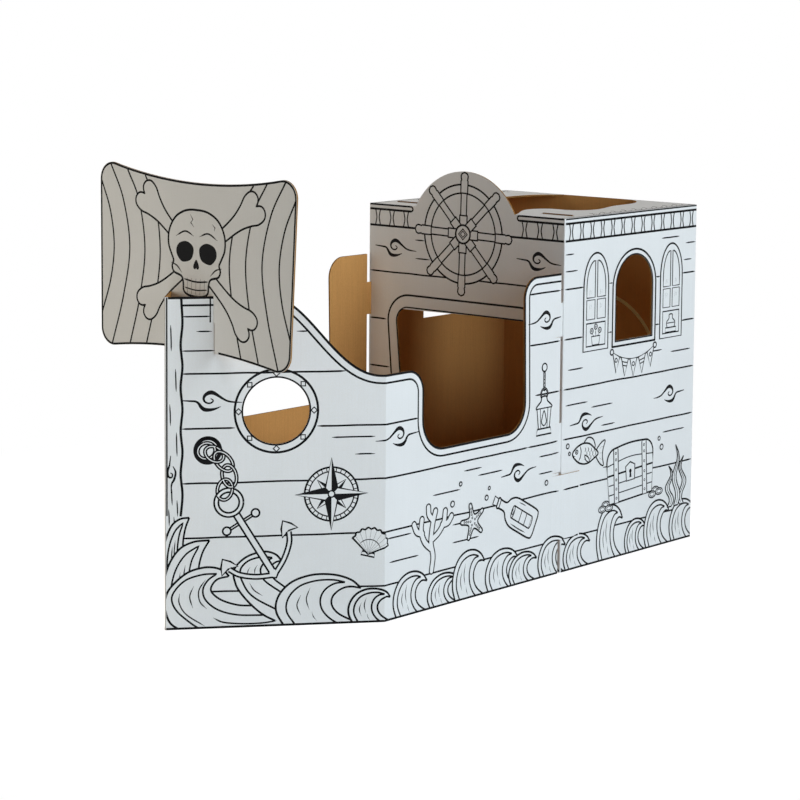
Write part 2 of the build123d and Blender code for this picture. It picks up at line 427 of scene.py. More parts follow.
def anchor(art, x, y, turn):
    """Anchor hanging from its ring at (x, y)."""
    def put(pts):
        return moved(pts, x, y, turn)
    for side in (1, -1):
        head = [
            (81 * side, -104), (94 * side, -119), (102 * side, -136), (82 * side, -131),
            (60 * side, -137), (68 * side, -119),
        ]
        art.shape(put(head), 1.0)
    left = curve([(0, -201), (-38, -181), (-67, -156), (-80, -133)])
    right = [(-a, b) for a, b in left]
    thick, shank = 14.5, 7.4
    for width, kind in ((thick, 0), (thick - 2 * art.line, 1)):
        for arm in (left, right):
            art.over()
            art.band(put(arm), width, kind)
    art.shape(put([(-34, -51.5), (34, -51.5), (34, -57), (-34, -57)]), 0.9)
    for spot in put([(-38.5, -54), (38.5, -54)]):
        art.shape(ring(*spot, 9.3), 1.0)
    art.patch(put([(-shank, -24), (shank, -24), (shank, -201), (0, -210), (-shank, -201)]))
    art.over()
    for side in (-shank, shank):
        art.rule(put([(side, -24), (side, -190)]), 1.0)
    art.rule(put([(-9, -202), (0, -209), (9, -202)]), 1.0)
    art.tube(ring(x, y, ANCHOR_EYE) + [(x + ANCHOR_EYE, y)], ANCHOR_ROPE, 1.0, False)


def compass(art, x, y, size):
    """Compass rose without letters."""
    inner, outer = size * 0.62, size * 0.74
    art.shape(ring(x, y, outer), 1.0)
    art.ink(ring(x, y, inner), 0.7, True)
    for k in range(32):
        a = math.radians(k * 11.25)
        art.rule([(x + r * math.cos(a), y + r * math.sin(a)) for r in (inner, outer)], 0.5)
    for reach, width, first in ((0.56, 0.13, 45), (1.0, 0.17, 0)):
        for k in range(4):
            turn = first + 90 * k
            tip, heart = (0, reach * size), (0, 0)
            left, right = (-width * size, width * size), (width * size, width * size)
            art.shape(moved([heart, right, tip, left], x, y, turn), 0.8)
            art.patch(moved([heart, right, tip], x, y, turn), 0)
    art.shape(ring(x, y, size * 0.09), 0.8)


def starfish(art, x, y, size, turn):
    """Five-armed starfish with small dots."""
    outline = []
    for k in range(10):
        a = math.radians(turn + 90 + 36 * k)
        r = size if k % 2 == 0 else size * 0.40
        if k % 2 == 0:
            for off in (-0.11, 0.0, 0.11):
                rr = r * (0.95 if off else 1.0)
                outline.append((x + rr * math.cos(a + off), y + rr * math.sin(a + off)))
        else:
            outline.append((x + r * math.cos(a), y + r * math.sin(a)))
    art.shape(curve(outline, True, 4), 1.0)
    for k in range(5):
        a = math.radians(turn + 90 + 72 * k)
        for r in (0.2, 0.38, 0.54, 0.7):
            art.ink(ring(x + r * size * math.cos(a), y + r * size * math.sin(a), 2.3), 0.45, True)


def scallop(art, x, y, size, turn):
    """Fan-shaped shell with ribs."""
    edge = []
    for k in range(9):
        a = math.radians(18 + 18 * k)
        edge.append((size * math.cos(a), size * (0.12 + math.sin(a))))
        if k < 8:
            m = math.radians(27 + 18 * k)
            edge.append((0.93 * size * math.cos(m), 0.93 * size * (0.12 + math.sin(m))))
    base = [
        (-0.3 * size, -0.1 * size), (-0.34 * size, -0.28 * size), (0.34 * size, -0.28 * size),
        (0.3 * size, -0.1 * size),
    ]
    art.shape(moved(base, x, y, turn), 0.9)
    art.shape(moved(curve(edge, step=3) + [(0, -0.2 * size)], x, y, turn), 1.0)
    for k in range(8):
        m = math.radians(27 + 18 * k)
        art.ink(moved([
            (0.05 * size * math.cos(m), -0.12 * size),
            (0.9 * size * math.cos(m), 0.9 * size * (0.12 + math.sin(m))),
        ], x, y, turn), 0.6, taper=10)
    art.ink(moved(arc(0, -0.05 * size, size * 0.58, 25, 155), x, y, turn), 0.5)


def fish(art, x, y, size, turn):
    """Plain fish in profile."""
    def put(pts):
        return moved(pts, x, y, turn, size / 100)
    art.shape(put(curve([
        (38, 0), (62, 30), (84, 38), (76, 12), (76, -12), (84, -38), (62, -30),
    ], True, 4)), 0.9)
    art.shape(put(curve([(-26, 24), (-8, 48), (20, 44), (34, 20), (8, 18)], True, 4)), 0.9)
    art.shape(put(curve([
        (-78, 0), (-62, 18), (-30, 31), (4, 30), (34, 14), (50, 4), (50, -4), (34, -14), (2, -29),
        (-34, -29), (-62, -17),
    ], True, 4)), 1.1)
    art.ink(put(curve([(-44, 26), (-36, 8), (-38, -10), (-46, -24)])), 0.8)
    for row, shift in ((12, 0), (0, 8), (-12, 0)):
        for k in range(4):
            art.ink(put(arc(-20 + shift + 15 * k, row, 7, -70, 70)), 0.6, taper=4)
    art.ink(put(ring(-58, 6, 6)), 0.7, True)
    art.patch(put(ring(-59, 6, 2.6)), 0)
    art.ink(put(curve([(-76, -4), (-68, -7), (-62, -6)])), 0.7)
    art.shape(put(curve([(-16, -4), (6, -14), (8, -26), (-8, -20)], True, 4)), 0.8)
    for k in range(3):
        art.ink(put([(58, -14 + 14 * k), (74, -20 + 20 * k)]), 0.6, taper=6)


def coral(art, x, y, size):
    """Branching coral."""
    branches = (
        [(0, 0), (4, 26), (-2, 52), (2, 84), (10, 108)], [(0, 40), (-20, 56), (-30, 78), (-28, 98)],
        [(2, 58), (20, 68), (34, 84), (38, 104)], [(-27, 72), (-42, 78), (-50, 92)],
        [(30, 80), (46, 82), (56, 92)], [(4, 92), (-8, 104), (-10, 118)],
    )
    for width, kind in ((15, 0), (9.5, 1)):
        for pts in branches:
            path = curve(moved(pts, x, y, 0, size), step=4)
            art.over()
            art.band(path, width * size, kind)
            for p in (path[0], path[-1]):
                art.patch(ring(p[0], p[1], width * size / 2), kind)


def bubbles(art, *spots):
    """Rising bubbles with a glint: place and radius of each."""
    for x, y, r in spots:
        art.shape(ring(x, y, r), 0.8)
        art.ink(arc(x, y, r * 0.6, 110, 170), 0.6, taper=3)


def lantern(art, x, y, size):
    """Ship's lantern hanging from a hook on a knotted rope."""
    def put(pts):
        return moved(pts, x, y, 0, size)
    art.tube(put([(0, 92), (0, 140)]), 8 * size, 0.8)
    for k in range(6):
        art.rule(put([(-3.4, 96 + 8 * k), (3.4, 101 + 8 * k)]), 0.55)
    art.shape(put(ring(0, 142, 9)), 0.9)
    art.tube(put(ring(0, 82, 12) + [(12, 82)]), 6 * size, 0.8, False)
    art.shape(put(curve([(-12, 66), (-8, 76), (8, 76), (12, 66), (28, 50), (-28, 50)], True, 4)), 1.0)
    art.shape(put([(-26, 50), (26, 50), (20, 4), (-20, 4)]), 1.0)
    art.shape(put([(-24, 4), (24, 4), (28, -10), (-28, -10)]), 1.0)
    art.shape(put(curve([(0, 10), (-9, 18), (-7, 28), (0, 44), (7, 28), (9, 18)], True, 3)), 0.8)
    for side in (-14, 14):
        art.rule(put([(side, 49), (side * 0.8, 5)]), 0.6)


def chest(art, x, y, size):
    """Treasure chest with an arched lid, straps and coins."""
    def put(pts):
        return moved(pts, x, y, 3, size)
    for coin in put([(-92, 4), (-104, -4), (-80, -6), (92, 0), (106, -6), (80, -8)]):
        art.shape(ring(*coin, 13 * size, 0.55), 0.8)
        art.ink(ring(*coin, 8 * size, 0.5), 0.5, True)
    art.shape(put([(-78, 0), (78, 0), (84, 62), (-84, 62)]), 1.15)
    art.shape(put(rounded([(-84, 62), (-86, 116), (0, 124), (86, 116), (84, 62)], [0, 30, 400, 30, 0])), 1.15)
    for z in (20, 41):
        art.rule(put([(-80, z), (80, z)]), 0.7)
    art.rule(put(curve([(-84, 84), (0, 92), (84, 84)])), 0.7)
    for side in (-52, 52):
        art.shape(put([(side - 8, 0), (side + 8, 0), (side + 8, 117), (side - 8, 117)]), 0.9)
        for rivet in put([(side, z) for z in (10, 30, 50, 72, 94, 108)]):
            art.ink(ring(*rivet, 2.4 * size), 0.5, True)
    art.shape(put([(-15, 40), (15, 40), (17, 72), (0, 80), (-17, 72)]), 1.0)
    art.patch(ring(*put([(0, 60)])[0], 4.6 * size), 0)
    art.area(put([(-2.2, 60), (2.2, 60), (4, 46), (-4, 46)]), 0)


def bunting(art, x0, x1, y, sag, flags):
    """String of pennants between two pins."""
    flag_drop = 46
    def point(t):
        return (x0 + (x1 - x0) * t, y - 4 * sag * t * (1 - t))
    art.rule([point(k / 24) for k in range(25)], 0.9)
    for k in range(flags):
        t = (k + 0.5) / flags
        a, b = point(t - 0.4 / flags), point(t + 0.4 / flags)
        tip = ((a[0] + b[0]) / 2, (a[1] + b[1]) / 2 - flag_drop)
        art.shape([a, tip, b], 1.0)
        if k % 2:
            for f in (0.22, 0.42):
                art.rule([
                    (a[0] + (tip[0] - a[0]) * f, a[1] + (tip[1] - a[1]) * f),
                    (b[0] + (tip[0] - b[0]) * f, b[1] + (tip[1] - b[1]) * f),
                ], 0.7)
        else:
            art.ink(ring(tip[0], tip[1] + 32, 5), 0.7, True)
    for p in (point(0), point(1)):
        art.shape(ring(p[0], p[1], 7), 0.9)


def skull_and_bones(art, x, y):
    """Plain skull over crossed bones."""
    bone(art, (x - 167, y + 120), (x + 162, y - 152))
    bone(art, (x + 181, y + 120), (x - 160, y - 134))
    def put(pts):
        return [(x + 1.06 * a, y + 0.94 * b) for a, b in pts]
    half = [
        (0, 104), (34, 100), (64, 82), (82, 50), (84, 16), (74, -10), (68, -24), (72, -38), (66, -52),
        (44, -60), (38, -74), (36, -94), (24, -103), (0, -106),
    ]
    art.shape(put(curve(whole(half), True, 4)), 1.2)
    art.over()
    for side in (-1, 1):
        socket = [(10, 14), (30, 26), (54, 18), (60, -4), (44, -24), (20, -20), (10, -6)]
        art.area(put(curve([(side * px, py) for px, py in socket], True, 3)), 0)
        art.ink(put(curve([(side * 8, 40), (side * 34, 50), (side * 62, 36)])), 0.9, taper=14)
        art.ink(put(curve([(side * 76, -30), (side * 58, -36), (side * 42, -52)])), 0.8, taper=12)
    art.area(put(curve([(0, -16), (9, -34), (3, -40), (0, -36), (-3, -40), (-9, -34)], True, 3)), 0)
    art.ink(put(curve([(-36, -66), (0, -70), (36, -66)])), 0.9, taper=6)
    art.ink(put(curve([(-34, -86), (0, -90), (34, -86)])), 0.7, taper=6)
    for n in range(-2, 3):
        art.ink(put([(n * 13, -62), (n * 12.4, -101)]), 0.8, taper=6)
    for pts in ([(-20, 92), (-12, 80), (-18, 72), (-8, 62)], [(46, 74), (54, 66), (52, 58)]):
        art.ink(put(pts), 0.7, taper=8)


def ships_wheel(art, x, y, lean):
    """Ship's wheel with eight spokes; lean turns it by degrees."""
    outer, inner, spoke, hub = 127, 105, 9.3, 23.5
    art.patch(ring(x, y, outer))
    art.over()
    art.ink(ring(x, y, outer), 1.1, True)
    for k in range(8):
        turn = 45 * k + lean
        handle = [
            (-11, 103), (-11.5, 136), (-9.5, 138.5), (-10.5, 141), (-11.5, 149), (-8.5, 155), (0, 158.5),
            (8.5, 155), (11.5, 149), (10.5, 141), (9.5, 138.5), (11.5, 136), (11, 103),
        ]
        art.shape(moved(handle, x, y, turn), 1.0)
    art.over()
    art.ink(ring(x, y, inner), 1.0, True)
    for k in range(8):
        turn = 45 * k + lean
        art.patch(moved([(-spoke, 30), (-spoke, 103.2), (spoke, 103.2), (spoke, 30)], x, y, turn))
        art.over()
        for side in (-spoke, spoke):
            art.rule(moved([(side, 30), (side, 104)], x, y, turn), 0.9)
        art.shape(moved([(-12, 22), (-12, 48), (12, 48), (12, 22)], x, y, turn), 1.25)
    art.shape(ring(x, y, hub), 1.2)
    for reach, weight in ((14, 0.9), (8, 0.8)):
        art.ink([(x - reach, y), (x, y - reach), (x + reach, y), (x, y + reach)], weight, True)


def balusters(art, start, end, low, high):
    """Row of waisted balusters between two rails."""
    foot, neck, waist = 8.5, 6, 4
    count = round((end - start) / BALUSTER_PITCH)
    step = (end - start) / count
    for k in range(count):
        x = start + step * (k + 0.5)
        for side in (-1, 1):
            outline = [
                (x + side * foot, high), (x + side * neck, high - 10), (x + side * waist, (low + high) / 2),
                (x + side * neck, low + 10), (x + side * foot, low),
            ]
            art.rule(curve(outline, step=4), 0.85)


def lattice(art, x0, x1, low, high, flowers):
    """Drawn arched window with four panes over a panel."""
    mid, half = (x0 + x1) / 2, (x1 - x0) / 2
    rise, frame_width, bar = 88, 12.5, 4.8
    spring = high - rise
    def arch(h, top):
        return [
            (mid - h * math.cos(math.pi * k / 24), spring + top * math.sin(math.pi * k / 24) ** 0.92)
            for k in range(25)
        ]
    art.shape([(x0, low), (x1, low)] + list(reversed(arch(half, rise))), 1.1)
    for side in (-1, 1):
        inner, outer = mid + side * bar, mid + side * (half - frame_width)
        left, right = sorted((inner, outer))
        art.ink([(left, low + 80), (right, low + 80), (right, low + 129), (left, low + 129)], 0.9, True)
        top = []
        for k in range(13):
            turn = k / 12 * math.pi / 2
            x = outer - side * (half - frame_width - bar) * (1 - math.cos(turn))
            top.append((x, low + 160 + 68 * math.sin(turn)))
        art.ink([(inner, low + 135), (outer, low + 135), (outer, low + 160)] + top[1:], 0.9, True)
        for z in (low + 148, low + 112):
            art.ink([(left + 12, z - 6), (left + 14, z + 7)], 0.6, taper=4)
            art.ink([(left + 18, z - 4), (left + 20, z + 5)], 0.5, taper=4)
    left, right = x0 + frame_width, x1 - frame_width
    art.ink([(left, low + 12), (right, low + 12), (right, low + 70), (left, low + 70)], 1.0, True)
    if flowers:
        art.shape([
            (mid - 14, low + 14), (mid + 14, low + 14), (mid + 18, low + 36), (mid - 18, low + 36),
        ], 0.8)
        for dx, dy in ((-17, 50), (0, 60), (17, 50)):
            art.ink(curve([(mid + dx * 0.4, low + 36), (mid + dx, low + dy - 6)]), 0.7)
            art.shape(ring(mid + dx, low + dy, 6.5), 0.7)
            art.ink(ring(mid + dx, low + dy, 2), 0.5, True)
    else:
        art.shape([
            (mid - 24, low + 14), (mid + 24, low + 14), (mid + 24, low + 26), (mid - 24, low + 26),
        ], 0.8)
        art.shape(curve([
            (mid - 16, low + 26), (mid - 19, low + 40), (mid - 8, low + 50), (mid - 7, low + 60),
            (mid + 7, low + 60), (mid + 8, low + 50), (mid + 19, low + 40), (mid + 16, low + 26),
        ], step=3), 0.8)
        art.rule([(mid - 17, low + 38), (mid + 17, low + 38)], 0.6)


def dashes(art, *rows):
    """Short strokes of wood grain: start, end and height of each."""
    for start, end, z in rows:
        art.wavy((start, z), (end, z), 0.85, 0.4)


def bone(art, a, b):
    """Bone from knob to knob with heart-shaped ends."""
    half = math.dist(a, b) / 2
    side = [
        (0, 14), (half * 0.42, 14.5), (half * 0.66, 18), (half * 0.82, 27), (half * 0.93, 37),
        (half + 6, 37), (half + 17, 27), (half + 18, 13), (half + 11, 4), (half + 2, 0),
    ]
    quarter = curve(side, step=4)
    end = quarter + [(px, -py) for px, py in reversed(quarter[:-1])]
    outline = end + [(-px, -py) for px, py in end[1:-1]]
    turn = math.degrees(math.atan2(b[1] - a[1], b[0] - a[0]))
    art.shape(moved(outline, (a[0] + b[0]) / 2, (a[1] + b[1]) / 2, turn), 1.05)


def crest(art, x, z, width, height):
    """Pointed crest rising behind the waves, its tip up and aft."""
    def put(pts):
        return curve([(x + width * a, z + height * b) for a, b in pts], step=4)
    back = put([(0.10, -0.1), (0.0, 0.25), (0.08, 0.58), (0.32, 0.84), (0.64, 0.95), (1.0, 0.97)])
    hollow = put([(1.0, 0.97), (0.84, 0.78), (0.76, 0.52), (0.84, 0.25), (1.05, -0.1)])
    hooked(art, back, hollow, weight=1.1)
    art.ink(put([(0.26, -0.1), (0.16, 0.22), (0.24, 0.52), (0.46, 0.76), (0.78, 0.90)]), 0.95, taper=6)
    art.ink(put([(0.78, 0.90), (0.60, 0.66), (0.55, 0.36), (0.66, -0.05)]), 0.9, taper=8)
    for pts in ([(0.36, 0.52), (0.33, 0.32), (0.38, 0.12)], [(0.47, 0.62), (0.43, 0.42), (0.46, 0.24)]):
        art.ink(put(pts), 0.6, taper=12)


def bow_wave(art):
    """Breaking wave at the foot of the prow, with its foam drawn out aft along the floor."""
    back = curve([
        (37, -2), (13, 16), (2, 44), (1, 70), (13, 98), (49, 130), (86, 142), (115, 141), (136, 132),
        (147, 120),
    ], step=4)
    hollow = curve([(147, 120), (122, 115), (108, 101), (107, 85), (129, 66), (166, 53), (202, 50)], step=4)
    hooked(art, back, hollow, [(262, 10), (262, -2)], taper=4)
    art.rule(curve([
        (84, -2), (60, 14), (28, 43), (16, 70), (24, 92), (49, 115), (86, 126), (119, 127),
    ], step=4), 1.0)
    art.ink(curve([
        (119, 127), (98, 112), (87, 90), (94, 66), (122, 43), (166, 30), (227, 27),
    ], step=4), 1.0, taper=4)
    art.ink(curve([(111, 25), (133, 14), (176, 9), (224, 9), (262, 14)]), 0.9, taper=12)
    for pts in (
        [(34, 84), (33, 62), (49, 35), (92, 6)], [(66, 100), (57, 76), (64, 49)],
        [(93, 114), (78, 90), (80, 64), (96, 46)],
    ):
        art.ink(curve(pts), 0.7, taper=14)


def leaning_wave(art):
    """Wave behind the anchor, its body sliding down aft into the trough."""
    back = curve([
        (253, 13), (224, 29), (194, 56), (169, 87), (160, 108), (157, 128), (166, 147), (191, 166),
        (227, 175), (253, 168), (267, 153),
    ], step=4)
    hollow = curve([(267, 153), (253, 149), (244, 140), (243, 125), (251, 110), (276, 90)], step=4)
    hooked(art, back, hollow, [(300, 60), (300, 12)], 1.1)
    art.rule(curve([
        (258, 38), (213, 63), (191, 82), (178, 105), (172, 124), (176, 141), (194, 156), (224, 163),
        (246, 160),
    ], step=4), 1.0)
    art.rule(curve([(246, 160), (227, 148), (219, 134), (222, 118), (233, 103), (268, 78)], step=4), 1.0)
    for pts in (
        [(194, 103), (204, 86), (224, 72)], [(189, 120), (190, 131), (195, 140)],
        [(206, 120), (206, 134), (212, 144)],
    ):
        art.ink(curve(pts), 0.6, taper=12)


def chain(art, *links):
    """Oval links, each through the next: middle, length, width and turn of each."""
    def oval(which, start, end):
        x, y, length, width, turn = which
        steps = max(6, int((end - start) / 9))
        angles = [math.radians(start + (end - start) * k / steps) for k in range(steps + 1)]
        return moved([(length / 2 * math.cos(a), width / 2 * math.sin(a)) for a in angles], x, y, turn)
    for k, which in enumerate(links):
        art.tube(oval(which, 90, 450), LINK_WIRE, 0.85, False)
        if k:
            art.tube(oval(links[k - 1], -78, 4), LINK_WIRE, 0.85, False)


def bottle(art, x, y, size, turn):
    """Corked bottle with a rolled letter inside."""
    def put(pts):
        return moved(pts, x, y, turn, size / 100)
    art.shape(put([(-8, 78), (8, 78), (9.5, 94), (-9.5, 94)]), 0.9)
    half = [
        (0, -72), (24, -71), (33, -62), (34, -20), (33, 16), (24, 36), (11, 48), (10, 70), (12, 74),
        (10, 79), (0, 79),
    ]
    art.shape(put(whole(curve(half, step=3))), 1.1)
    art.rule(put([(-10, 70), (10, 70)]), 0.8)
    art.shape(put([(-14, -52), (14, -52), (14, 18), (-14, 18)]), 0.9)
    art.shape(put(ring(0, 18, 14, 0.34)), 0.8)
    art.ink(put(arc(0, 18, 7, 0, 300, 0.34, 2)), 0.6, taper=2)
    art.rule(put(arc(0, -52, 14, 180, 360, 0.34, 3)), 0.8)
    for z in (-32, -12):
        art.rule(put([(-14, z), (14, z)]), 0.7)
    art.ink(put(curve([(-26, 14), (-27, -16), (-26, -46)])), 0.7, taper=12)
    art.ink(put(curve([(26, 6), (27, -8), (27, -20)])), 0.6, taper=8)


def seaweed(art, x, y, size):
    """Wavy ribbons of weed."""
    for shift, height, sway in ((-26, 96, 9), (24, 112, -9), (0, 142, 8)):
        spine = [(shift + sway * math.sin(k * 1.25), height * k / 8) for k in range(9)]
        left = [(a - 8.5 * (1 - (k / 8) ** 3), b) for k, (a, b) in enumerate(spine)]
        right = [(a + 8.5 * (1 - (k / 8) ** 3), b) for k, (a, b) in enumerate(spine)]
        art.shape(moved(curve(left, step=4) + list(reversed(curve(right[:-1], step=4))), x, y, 0, size), 0.95)
        art.ink(moved(curve(spine[:-1]), x, y, 0, size), 0.6, taper=14)


# Drawings for each face

def hull_edge():
    """The top edge of one side of the hull, unrolled from the prow to the cabin."""
    bend = []
    for k in range(25):
        t = k / 24
        shares = ((1 - t) ** 3, 3 * t * (1 - t) ** 2, 3 * t * t * (1 - t), t ** 3)
        u = sum(share * point for share, point in zip(shares, DROP))
        bend.append((u, HULL_TOP * (shares[0] + shares[1]) + SILL * (shares[2] + shares[3])))
    front, back = CABIN_U - ENTRY_FRONT, CABIN_U - ENTRY_BACK
    rest = rounded(
        [(DROP[-1], SILL), (front, SILL), (front, ENTRY_FLOOR), (back, ENTRY_FLOOR),
         (CABIN_U - RAISED_FRONT, RAISED_TOP), (CABIN_U - HULL_GAP, RAISED_TOP)],
        [0, *ENTRY_RADII, 0],
    )
    return [(PROW_EDGE, HULL_TOP)] + bend[:-1] + rest


def evened(path, step=6.0):
    """The path with its long runs cut into steps."""
    out = [path[0]]
    for a, b in zip(path, path[1:]):
        parts = max(1, int(math.dist(a, b) / step))
        for k in range(1, parts + 1):
            out.append((a[0] + (b[0] - a[0]) * k / parts, a[1] + (b[1] - a[1]) * k / parts))
    return out


def plank_z(k):
    """Height of a plank line, counted from the floor up."""
    return PLANK_LOW + PLANK * k


def rails(art, start, end):
    """The cabin's two rails and the line along its top edge."""
    for z, weight in ((RAIL_TOP, 1.3), (RAIL_LOW, 1.3), (RAIL_EDGE, 0.8)):
        art.rule([(start, z), (end, z)], weight)


def side_planks(art):
    """Plank lines of the side, each with its row, start and end, then the wood's grain."""
    c = CABIN_U
    hull_end, fore, aft = c - 14, c + 3, c + 576
    for row, x0, x1 in (
        (4, POST, 414), (3, POST, 160), (3, 348, c - 557), (2, POST, c - 139), (2, c - 139, hull_end),
        (1, POST, hull_end), (0, POST, hull_end), (5, c - 143, hull_end), (4, c - 140, hull_end),
        (3, c - 112, hull_end), (5, fore, c + 82), (5, c + 190, c + 208), (5, c + 394, c + 417),
        (5, c + 516, aft), (4, fore, c + 82), (4, c + 190, c + 208), (4, c + 394, c + 417),
        (4, c + 516, aft), (3, fore, aft), (2, fore, aft), (1, fore, aft), (0, fore, aft),
    ):
        art.wavy((x0, plank_z(row)), (x1, plank_z(row)), 1.0)
    for x, z, mirror, flip in (
        (102, 528, False, False), (c - 624, 431, True, False), (c - 178, 277, False, True),
        (c - 70, 648, True, False), (c + 98, 368, False, True), (c + 470, 402, True, False),
        (c + 250, 236, True, True),
    ):
        knot(art, x, z, 1.0, mirror, flip)
    dashes(
        art, (38, 106, 718), (72, 108, 684), (38, 114, 640), (300, 330, 681), (382, 483, 435),
        (436, 483, 395), (679, 780, 271), (794, 862, 313), (848, 943, 295), (1088, 1145, 264),
        (1088, 1174, 307), (515, 601, 194), (523, 628, 137), (753, 820, 189), (753, 853, 146),
        (1194, 1287, 421), (1302, 1395, 405), (1347, 1406, 353), (c + 4, c + 40, 800),
        (c + 4, c + 56, 758), (c + 420, c + 500, 812), (c + 530, c + 576, 792), (c + 522, c + 560, 748),
        (c + 440, c + 540, 300), (c + 380, c + 430, 520), (c + 470, c + 560, 510), (c + 20, c + 84, 510),
    )


def side_borders(art):
    """Borders along the hull's top edge and at the prow's fold, and a line of painted shadow beside the
    sail's slot.
    """
    edge = evened(hull_edge())
    art.over()
    art.rule(aside(edge, -2.4), 1.3)
    art.rule([p for p in aside(edge, -19.5) if p[0] > 37], 1.1)
    art.rule([(5.4, 762), (5.4, 264)], 0.8)
    # Painted shadow: dark line where the sail's slot shades the bow panel
    art.rule([(103.5, 761), (103.5, 704)], 0.8)


def prow_post(art):
    """Wavy edge of the post at the prow, with its grain."""
    post = [(POST, 759)]
    for k in range(1, 11):
        post.append((POST + (2.6 if k % 2 else -1.4), 752 - 49 * k))
    art.rule(curve(post), 1.3)
    for x, z0, z1 in (
        (14, 700, 640), (25, 600, 548), (12, 520, 470), (27, 455, 400), (16, 330, 288), (28, 300, 262),
        (9, 280, 240), (21, 262, 228),
    ):
        art.wavy((x, z0), (x + 1.5, z1), 0.7)
    art.brush([
        (14, 402, 0.4), (11, 380, 0.9), (7, 366, 1.2), (9, 354, 1.1), (16, 352, 0.9), (18, 359, 0.8),
        (13, 363, 0.4),
    ])
    art.brush([(19, 378, 0.4), (25, 364, 1.0), (22, 348, 1.2), (16, 336, 0.9), (15, 316, 0.4)])


def porthole_ring(art):
    """Ring round the porthole with eight square bolts."""
    outer, inner, bolts = 95.5, 78.0, 86.6
    x, z = PORTHOLE
    art.ink(ring(x, z, outer), 1.25, True)
    art.ink(ring(x, z, inner), 0.9, True)
    for k in range(8):
        a = math.radians(45 * k)
        bx, bz = x + bolts * math.cos(a), z + bolts * math.sin(a)
        art.shape(moved([(-5, -5), (5, -5), (5, 5), (-5, 5)], bx, bz, 45 if k % 2 == 0 else 0), 0.8)


def side_sea(art):
    """Waves at the bow, the anchor on its chain, then the waves along the side."""
    crest(art, -4, 118, 60, 145)
    crest(art, -2, 50, 104, 160)
    bow_wave(art)
    leaning_wave(art)
    art.shape(ring(*HAWSE, 30), 1.3)
    art.ink(ring(*HAWSE, 25.5), 0.9, True)
    art.ink(arc(*HAWSE, 28, 20, 150), 1.5, taper=20)
    anchor(art, *ANCHOR, 31.6)
    chain(
        art, (95, 411, 40, 36, 20), (113, 403, 46, 32, -32), (134, 386, 54, 32, -48),
        (147, 352, 52, 32, -76), (137, 321, 48, 34, -100),
    )
    art.tube(arc(*ANCHOR, ANCHOR_EYE, 95, 150), ANCHOR_ROPE, 1.0, False)
    waves(
        art, (255, 197, 118), (423, 104, 80), (538, 122, 102), (662, 116, 78), (755, 122, 118),
        (881, 127, 100), (973, 111, 78), (1090, 112, 98), (1194, 112, 88), (1335, 112, 141),
        (1458, 92, 88), (1544, 114, 122), (1660, 112, 108),
    )


def side_things(art):
    """Things of the sea and of the ship, and an inked line along the floor that is painted shadow where the
    card meets it.
    """
    c = CABIN_U
    compass(art, 382, 304, 84)
    scallop(art, 470, 170, 48, -14)
    coral(art, c - 506, 92, 1.3)
    starfish(art, c - 352, 186, 46, 14)
    bottle(art, c - 178, 176, 112, 62)
    bubbles(
        art, (c - 430, 240, 7), (c - 400, 284, 5), (c - 300, 236, 6), (c - 290, 258, 4), (c - 62, 238, 6),
        (c + 24, 318, 6), (c + 32, 298, 4), (c + 436, 262, 7), (c + 424, 286, 5),
    )
    lantern(art, c - 76, 372, 1.1)
    fish(art, c + 110, 288, 84, -6)
    chest(art, c + 300, 146, 1.2)
    seaweed(art, c + 506, 96, 1.15)
    art.over()
    # Painted shadow: inked line along the foot, where the card meets the floor
    for line in ((1.5, BOW, c - 14), (c + 3, c + 577)):
        art.rule([(u, 2.6) for u in line], 1.3)


def side_cabin(art):
    """The cabin's rails and balusters, the frame round its window, the drawn windows and the bunting."""
    c = CABIN_U
    rails(art, c + 2, c + 578)
    balusters(art, c + 4, c + 576, 834, 877)
    x, low = c + WINDOW_BACK, WINDOW_LOW
    for off, weight in ((2.0, 0.9), (15, 1.2)):
        r = WINDOW_RADIUS + off
        arch = arc(x, WINDOW_SPRING, r, 180, 0)
        art.rule(evened([(x - r, low - off)] + arch + [(x + r, low - off)]), weight)
        art.rule([(x - r - 1.8, low - off), (x + r + 1.8, low - off)], weight)
    lattice(art, c + 82, c + 187, 549, 796, True)
    lattice(art, c + 417, c + 516, 549, 796, False)
    bunting(art, c + 206, c + 396, 536, 26, 5)


def draw_side(art):
    """Port side, from the prow to the stern."""
    for draw in (side_planks, side_borders, prow_post, porthole_ring, side_sea, side_things, side_cabin):
        draw(art)


def draw_front(art):
    """Front wall of the cabin, seen from the bow: left is -u, u runs to the right."""
    for row, x0, x1 in (
        (5, -316, 316), (4, -316, -258), (4, 258, 316), (3, -316, -246), (3, 246, 316), (2, -316, -236),
        (2, 236, 316), (1, -316, 316), (0, -316, 316),
    ):
        art.wavy((x0, plank_z(row)), (x1, plank_z(row)), 1.0)
    for x in (-232, 236):
        knot(art, x, 781)
    dashes(
        art, (-163, -130, 803), (-161, -112, 755), (-120, -60, 232), (40, 130, 188), (-250, -160, 150),
        (190, 280, 232),
    )
    # Door band
    band = rounded([(-224, 262), (-259, 657), (259, 657), (224, 262)], [0, 70, 70, 0])
    art.patch(band)
    art.over()
    art.rule(evened(band), 1.2)
    art.rule(evened(rounded([(-192, 258), (-228, 625), (228, 625), (192, 258)], [0, 38, 38, 0])), 0.9)
    # Rails either side of the wheel disc
    for side in (-1, 1):
        for z, end, weight in ((RAIL_EDGE, 177, 1.0), (876, 177, 1.3), (RAIL_LOW, 150, 1.3)):
            art.rule([(side * WALL_EDGE, z), (side * end, z)], weight)
        art.rule(arc(side * 177, 882, 6, 90, 270 if side > 0 else -90), 1.1)
        low, high = sorted((side * 314, side * 170))
        balusters(art, low, high, 834, 876)
    ships_wheel(art, -4, 829, -1.5)
    waves(
        art, (-330, 110, 120), (-236, 92, 92), (-150, 104, 110), (-60, 90, 84), (22, 108, 112),
        (120, 92, 86), (206, 118, 118),
    )


